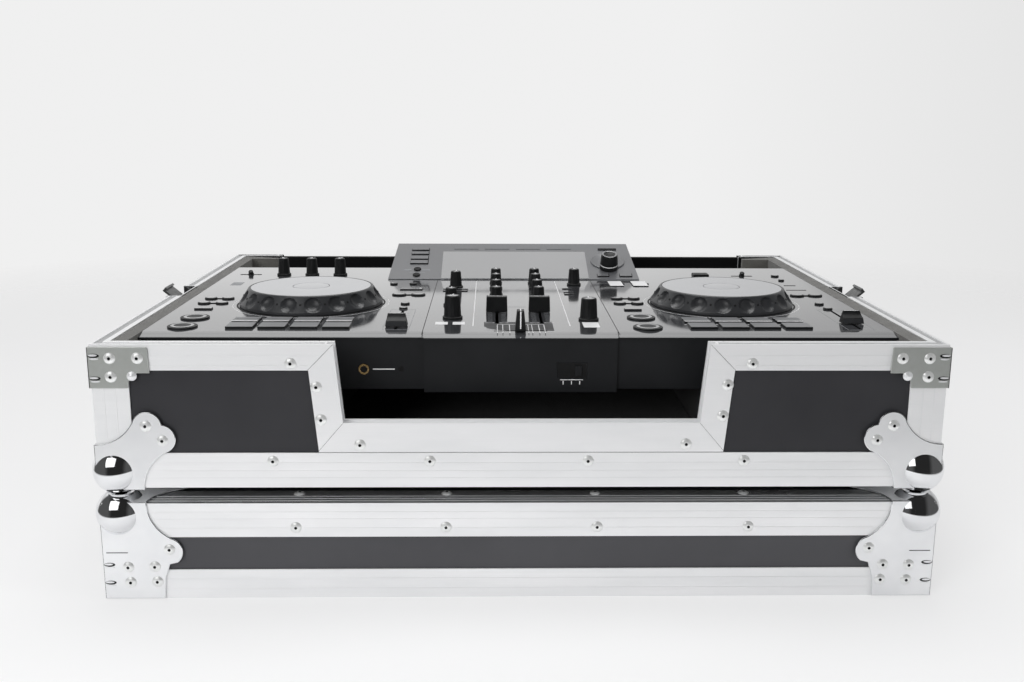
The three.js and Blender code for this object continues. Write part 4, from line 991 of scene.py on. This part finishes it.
# Single round buttons by x, y and radius, and pairs of wider ones joined by a bar
singleKeys = [(-146.5, 53.6, 4.2), (-123, 54, 4.2), (-122.6, -79, 4.6), (-122.4, -106.9, 4.2),
              (335, 119, 4.6), (334.3, 84.6, 3.2), (333.8, -78.6, 4.6), (334.7, -107, 4.6)]
widePairs = [((-133.8, -21.9), (-112.1, -21.7)), ((324.1, -24.4), (345, -24.2))]
mixerKeys = [(-79, 18), (-62, 18), (-79, 6), (-62, 6), (62, 22), (62, -4), (62, -16)]
buttons = bmesh.new()


def addRoundButton(x, y, radius, height, dish=0.0, ring=0.0, stretch=1.0, middle=1):
    matrix = Matrix.Translation((x, y, deckTop)) @ Matrix.Diagonal((stretch, 1, 1, 1))
    if ring:
        level, outer = height - 0.4, radius + ring
        rim = [(radius - 0.2, 0), (outer, 0), (outer, level - 0.3), (outer - 0.3, level),
               (radius - 0.2, level)]
        addTurned(buttons, rim, 40, matrix)
    edge = min(0.5, height * 0.3)
    profile = [(radius, 0), (radius, height - edge), (radius - edge * 0.3, height - edge * 0.3),
               (radius - edge, height), (radius * 0.72, height), (radius * 0.6, height - dish),
               (0, height - dish * 1.2)]
    addTurned(buttons, profile, 40, matrix, bands=[0, 0, 1, 1, middle, middle])


def addBarButton(x, y, wide, long, height, top=1, bevel=0.5):
    side, end = wide / 2, long / 2
    addBlock(buttons, (x - side, y - end, deckTop - 0.1), (x + side, y + end, deckTop + height - 0.3), 0.2, 1)
    side, end = side - 0.25, end - 0.25
    addBlock(buttons, (x - side, y - end, deckTop + height - 0.6), (x + side, y + end, deckTop + height),
             bevel / 2, 2, None, top)


def addFlat(x0, x1, y0, y1, low, high, material=0, bevel=0.0):
    addBlock(buttons, (x0, y0, deckTop + low), (x1, y1, deckTop + high), bevel, 1, None, material)


for keys in deckKeys:
    small = keys["small"]
    for x, y in small:
        addRoundButton(x, y, 4.7, 1.9, ring=1.3, stretch=1.15)
    for (x0, y), (x1, _) in (small[:2], small[2:]):
        addFlat(x0 + 5, x1 - 5, y - 0.7, y + 0.7, -0.05, 0.8, bevel=0.2)
    addBarButton(*keys["bar"], 18.5, 6.5, 1.8)
    for x, y in keys["rounds"]:
        addRoundButton(x, y, 11.6, 2, dish=0.6, ring=3, middle=4)
    for x in keys["padX"]:
        for shift, y, wide, long, height, bevel in padRows:
            addBarButton(x + shift, y, wide, long, height, 2, bevel)
        addFlat(x - 0.4, x + 25.6, -181.5, -180.9, 1.4, 2.08, 3)
for x, y, radius in singleKeys:
    addRoundButton(x, y, radius - 0.8, 2, ring=1.2)
for (x0, y0), (x1, y1) in widePairs:
    for x, y in ((x0, y0), (x1, y1)):
        addRoundButton(x, y, 5.2, 1.9, ring=1.4, stretch=1.25)
    addFlat(x0 + 6, x1 - 6, y0 - 0.8, y1 + 0.8, -0.05, 0.9, bevel=0.2)
addBarButton(-122.7, 19.9, 26.2, 14.4, 1.3)
addFlat(-113, -111, 17, 20, 1.2, 1.4, 3)
addFlat(322, 346, 14.6, 15.8, -0.02, 0.3)
addFlat(328, 342, 47, 49, -0.02, 0.3, 4)
for x, wide in ((123.5, 17), (152.5, 18.5)):
    addBarButton(x, 56.5, wide, 34, 1.2, 3, 0.4)
    addRoundButton(x + wide / 2 + 1.2, 57.5, 1.4, 1.2)
for x, y in mixerKeys:
    addBarButton(x, y, 12, 4.5, 1.2)
makePiece("unit_buttons", buttons, [knobBlack, paintedSheenGrey, padGrey, inkWhite, darkRubberAndLitFace], "unit")

# Lever switches and the small box at the back
lever = dict(places=[(-335, 128), (293, 122)], lean=28, slotHalf=13.5,
             profile=[(0, 0), (3.4, 0), (3.6, 0.8), (2.6, 2.2), (3.1, 4), (2.7, 4.9), (0, 5.2)])
levers = bmesh.new()
for x, y in lever["places"]:
    lean = Matrix.Rotation(math.radians(lever["lean"]), 4, "X")
    addTurned(levers, lever["profile"], 24, Matrix.Translation((x, y, deckTop + 0.4)) @ lean)
    low = (x - lever["slotHalf"], y - 1.2, deckTop - 0.05)
    addBlock(levers, low, (x + lever["slotHalf"], y + 1.2, deckTop + 0.4), 0.2, 1)
addBlock(levers, (228, 106, deckTop), (248, 122, deckTop + 4.6), 1.2, 3)
makePiece("unit_levers", levers, [knobBlack], "unit")
print("controls made")

# Display housing: glass, keys beside it and the selector's dish. Places are x and the way up the slope
panelForm = dict(glass=(-91, 94, 1, 77.5), topKeyX=-77, topKeyPitch=40.6, topKey=(32, 85, 93.5),
                 sideKeys=[(79.8, 85.5), (67.8, 74.5), (53.4, 62), (40.6, 49.5)], sideKeyX=(-132, -109),
                 roundKeys=[(-121.8, 25.5), (-122.2, 9.5)],
                 roundKey=[(4.6, 0), (4.6, 1.2), (4, 1.7), (0, 1.5)],
                 marks=[(-138.5, -129, 22.5, 26), (-115.8, -106, 22.5, 26), (-131, -112, 15.6, 17.4)],
                 dish=[(22, 0), (21.7, 1.4), (21, 1.8), (19.6, 1.5), (15, 0.4), (12.5, 0.1), (12.5, 0)],
                 dishAt=(121.4, 48), lowKeys=[(105, 120, 5.5, 13), (133, 149, 5.5, 13)])
display = bmesh.new()


def addOnHousing(x0, x1, up0, up1, height, material, bevel=0.3):
    addBlock(display, (x0, up0, -0.05), (x1, up1, height), bevel, 2, onHousing(0, 0), material)


def addHousingKey(x0, x1, up0, up1):
    addOnHousing(x0, x1, up0, up1, 1.3, 1, 0.1)
    addOnHousing(x0 + 0.2, x1 - 0.8, up0 + 0.5, up1, 1.6, 2, 0.2)


addOnHousing(*panelForm["glass"], 0.3, 0, 0.1)
for k in range(4):
    x = panelForm["topKeyX"] + panelForm["topKeyPitch"] * k
    wide, up0, up1 = panelForm["topKey"]
    addOnHousing(x, x + wide, up0, up1, 0.55, 2, 0.25)
for up0, up1 in panelForm["sideKeys"]:
    addHousingKey(*panelForm["sideKeyX"], up0, up1)
for place in panelForm["roundKeys"]:
    addTurned(display, panelForm["roundKey"], 28, onHousing(*place), 1)
for mark in panelForm["marks"]:
    addOnHousing(*mark, 0.12, 3, 0)
addTurned(display, panelForm["dish"], 72, onHousing(*panelForm["dishAt"]), 2)
addOnHousing(112, 136, 82, 86.5, 1.3, 1, 0.4)
for key in panelForm["lowKeys"]:
    addHousingKey(*key)
makePiece("unit_display_panel", display, [screenGlass, deepBlack, housingSkin, greyInkAndLitFace, darkRubberAndLitFace], "unit")

# Front face: jacks, the line between them and a recessed switch. Blocks are x and z of two corners, how deep
# and how proud, bevel, steps and material; those of the switch lie on the face's bowed middle
socket = dict(large=(-150.6, 208.6), small=(-114.9, 208.6), steps=20, screws=(-60, 60), screwAt=(-230, 186.3),
              switch=[(35.4, 201, 63.2, 215, -0.1, 0.05, 0, 1, 1),
                      (34.4, 200, 64.2, 201, -0.2, 0.3, 0.15, 1, 3),
                      (34.4, 215, 64.2, 216, -0.2, 0.3, 0.15, 1, 3),
                      (34.4, 200, 35.4, 216, -0.2, 0.3, 0.15, 1, 3),
                      (63.2, 200, 64.2, 216, -0.2, 0.3, 0.15, 1, 3), (52, 203, 59, 213, 0, 1.3, 0.4, 2, 3),
                      *[(x - 0.4, 194, x + 0.4, 197.5, -0.05, 0.06, 0, 1, 2) for x in (41, 49, 57)],
                      (38, 198.4, 60, 199.0, -0.05, 0.06, 0, 1, 2)],
              turned=[("large", [(3.3, -0.5), (3.3, 0.9), (5.1, 0.9), (5.4, 0.4), (5.4, -0.5)], 40, 0),
                      ("large", [(0, 0.15), (3.3, 0.15), (3.3, -0.2)], 32, 1),
                      ("small", [(1.7, -0.4), (1.7, 0.4), (2.6, 0.4), (2.8, -0.4)], 32, 1),
                      ("small", [(0, 0.1), (1.7, 0.1), (1.7, -0.2)], 24, 1)])
faceY, bowY = unitFront + 1.5, unitFront - 1.5
front = bmesh.new()
for place, profile, steps, material in socket["turned"]:
    x, z = socket[place]
    addTurned(front, profile, steps, facing("front", (x, faceY, z)), material)
addBlock(front, (-142, 208.1, -0.05), (-121, 209, 0.06), 0, 1, facing("front", (0, faceY, 0)), 2)
for x0, z0, x1, z1, deep, proud, bevel, steps, material in socket["switch"]:
    addBlock(front, (x0, z0, deep), (x1, z1, proud), bevel, steps, facing("front", (0, bowY, 0)), material)
for x in socket["screws"]:
    point = (x, *socket["screwAt"])
    addTurned(front, [(0, 0.2), (2.4, 0.2), (2.6, -0.2)], socket["steps"], facing("bottom", point), 3)
makePiece("unit_front_sockets", front, [brass, deepBlack, inkWhite, shellPlastic], "unit")
print("unit made")

# Camera: its place in metres and its angles in radians, as worked out from the photo
view = dict(lens=38.278, at=(-0.02848, -1.25552, 0.45967), yaw=0.0196634, pitch=0.2158277, roll=0.0048284)
camera = bpy.data.cameras.new("camera")
camera.lens = view["lens"]
camera.sensor_width = 36
camera.clip_end = 50
cameraObject = bpy.data.objects.new("camera", camera)
scene.collection.objects.link(cameraObject)
yaw, pitch, roll = view["yaw"], view["pitch"], view["roll"]
ahead = Vector((math.sin(yaw) * math.cos(pitch), math.cos(yaw) * math.cos(pitch), -math.sin(pitch)))
right = Vector((math.cos(yaw), -math.sin(yaw), 0))
up = right.cross(ahead)
rightRolled = math.cos(roll) * right + math.sin(roll) * up
upRolled = math.cos(roll) * up - math.sin(roll) * right
turn = Matrix((rightRolled, upRolled, -ahead)).transposed().to_4x4()
cameraObject.matrix_world = Matrix.Translation(view["at"]) @ turn
scene.camera = cameraObject

# The studio. The paper fades out from near to far, in metres, and for a mirror from mirrorNear to mirrorFar.
# glow, pale, dark, sides and ambient are brightnesses, and the others are shares of one
studio = dict(floor="#f1f1f2", size=6, glow=0.93, glowShare=0.5, near=1.25, far=2.3, mirrorNear=0.8,
              mirrorFar=0.98, pale=0.87, dark=0.02, sides=0.09, ambient=0.42, rightSeen=0.9,
              rightMirrored=0.66, overhead=0.8)
floorMaterial = bpy.data.materials.new("studio_floor_paper")
floorMaterial.use_nodes = True
tree = floorMaterial.node_tree
shader = tree.nodes["Principled BSDF"]
shader.inputs["Base Color"].default_value = linear(studio["floor"])
shader.inputs["Roughness"].default_value = 0.55
shader.inputs["Specular IOR Level"].default_value = 0.2
coords = addNode(tree, "ShaderNodeTexCoord").outputs["Object"]
distance = addNode(tree, "ShaderNodeVectorMath", {0: coords}, operation="LENGTH").outputs["Value"]
path = addNode(tree, "ShaderNodeLightPath").outputs
# A metal sees less floor than the camera does, so its lower half stays dark further up
fades = []
for low, high in ((studio["near"], studio["far"]), (studio["mirrorNear"], studio["mirrorFar"])):
    inputs = {"Value": distance, "From Min": low, "From Max": high}
    fades.append(addNode(tree, "ShaderNodeMapRange", inputs).outputs[0])
fade = addNode(tree, "ShaderNodeMix", {0: path["Is Glossy Ray"], 2: fades[0], 3: fades[1]}, data_type="FLOAT")
# Half of what the camera sees is an even glow, so shadows on the paper stay faint
glow = addNode(tree, "ShaderNodeEmission", {"Strength": studio["glow"]})
inputs = {0: path["Is Camera Ray"], 1: studio["glowShare"]}
share = addNode(tree, "ShaderNodeMath", inputs, operation="MULTIPLY")
paper = addNode(tree, "ShaderNodeMixShader", {0: share.outputs[0], 1: shader.outputs[0], 2: glow.outputs[0]})
clear = addNode(tree, "ShaderNodeBsdfTransparent")
output = tree.nodes["Material Output"]
mix = addNode(tree, "ShaderNodeMixShader", {0: fade.outputs[0], 1: paper.outputs[0], 2: clear.outputs[0]})
tree.links.new(mix.outputs[0], output.inputs["Surface"])
bpy.ops.mesh.primitive_plane_add(size=studio["size"], location=(0, 0, 0))
floor = bpy.context.object
floor.name = "studio_floor"
floor.data.materials.append(floorMaterial)

world = bpy.data.worlds.new("studio")
scene.world = world
world.use_nodes = True
tree = world.node_tree
direction = addNode(tree, "ShaderNodeTexCoord").outputs["Generated"]
axes = addNode(tree, "ShaderNodeSeparateXYZ", {0: direction}).outputs
sideways = addNode(tree, "ShaderNodeMath", {0: axes["X"]}, operation="ABSOLUTE").outputs[0]
# Ramps over a direction: where each starts and ends, and its value at each end.
# Metals see a dark room before them, a little paler at its sides, and the pale backdrop behind it.
# The backdrop is a little darker to the right, as in the photo. Metals also see it darker above the strip
# that lies behind the case, which leaves the front of the deck duller than its back
pale = studio["pale"]
ramps = dict(room=(sideways, 0.5, 0.75, studio["dark"], studio["sides"]),
             behind=(axes["Y"], 0.3, 0.5, 0, 1),
             below=(axes["Z"], -0.4, -0.25, 1, 0),
             mirroredPale=(axes["X"], 0.06, 0.36, pale, pale * studio["rightMirrored"]),
             seenPale=(axes["X"], 0.18, 0.45, pale, pale * studio["rightSeen"]),
             dimmed=(axes["Z"], 0.155, 0.19, 1, studio["overhead"]),
             restored=(axes["Z"], 0.3, 0.42, 0, 1))
ramp = {}
for name, (value, low, high, first, last) in ramps.items():
    inputs = {"Value": value, "From Min": low, "From Max": high, "To Min": first, "To Max": last}
    ramp[name] = addNode(tree, "ShaderNodeMapRange", inputs).outputs[0]
backdrop = addNode(tree, "ShaderNodeMath", {0: ramp["behind"], 1: ramp["below"]}, operation="MAXIMUM")
share = addNode(tree, "ShaderNodeMath", {0: ramp["dimmed"], 1: ramp["restored"]}, operation="MAXIMUM")
inputs = {0: ramp["mirroredPale"], 1: share.outputs[0]}
mirroredPale = addNode(tree, "ShaderNodeMath", inputs, operation="MULTIPLY")
level = addNode(tree, "ShaderNodeMix", {0: backdrop.outputs[0], 2: ramp["room"], 3: mirroredPale.outputs[0]},
                data_type="FLOAT")
path = addNode(tree, "ShaderNodeLightPath")
rays = {0: path.outputs["Is Glossy Ray"], 1: path.outputs["Is Transmission Ray"]}
mirrored = addNode(tree, "ShaderNodeMath", rays, operation="MAXIMUM")
asSeen = addNode(tree, "ShaderNodeMix", {0: mirrored.outputs[0], 2: studio["ambient"], 3: level.outputs[0]},
                 data_type="FLOAT")
shown = addNode(tree, "ShaderNodeMix", {0: path.outputs["Is Camera Ray"], 2: asSeen.outputs[0],
                                        3: ramp["seenPale"]}, data_type="FLOAT")
background = tree.nodes["Background"]
background.inputs["Color"].default_value = (1, 1, 1, 1)
tree.links.new(shown.outputs[0], background.inputs["Strength"])

# Lamps, placed in metres; only those marked as seen show in a mirror
caseFront = (-0.376, -0.3, 0.13)
lamps = [dict(name="softbox_above", at=(-0.1, 0.4, 2.4), aim=(0, 0, 0.1), size=(1.8, 1.2), power=22,
              seen=True),
         dict(name="softbox_left", at=(-0.87, -1.18, 0.98), aim=caseFront, size=(1.0, 0.95), power=4.2,
              roll=14, seen=True),
         dict(name="strip_above", at=(-1.16, -0.78, 1.9), aim=caseFront, size=(1.4, 0.16), power=0.5,
              seen=True),
         dict(name="softbox_front", at=(-1.4, -2.6, 1.1), aim=(0, 0, 0.15), size=(1.4, 1.0), power=34),
         dict(name="softbox_right", at=(2.2, -1.0, 1.2), aim=(0, 0, 0.15), size=(0.8, 1.2), power=14)]
for spec in lamps:
    data = bpy.data.lights.new(spec["name"], "AREA")
    data.shape = "RECTANGLE"
    data.size, data.size_y = spec["size"]
    data.energy = spec["power"]
    lamp = bpy.data.objects.new(spec["name"], data)
    lamp.location = spec["at"]
    lamp.visible_glossy = spec.get("seen", False)
    way = (Vector(spec["aim"]) - Vector(spec["at"])).to_track_quat("-Z", "Y").to_matrix()
    lamp.rotation_euler = (way @ Matrix.Rotation(math.radians(spec.get("roll", 0)), 3, "Z")).to_euler()
    scene.collection.objects.link(lamp)

scene.view_settings.view_transform = "Standard"
print("scene made")
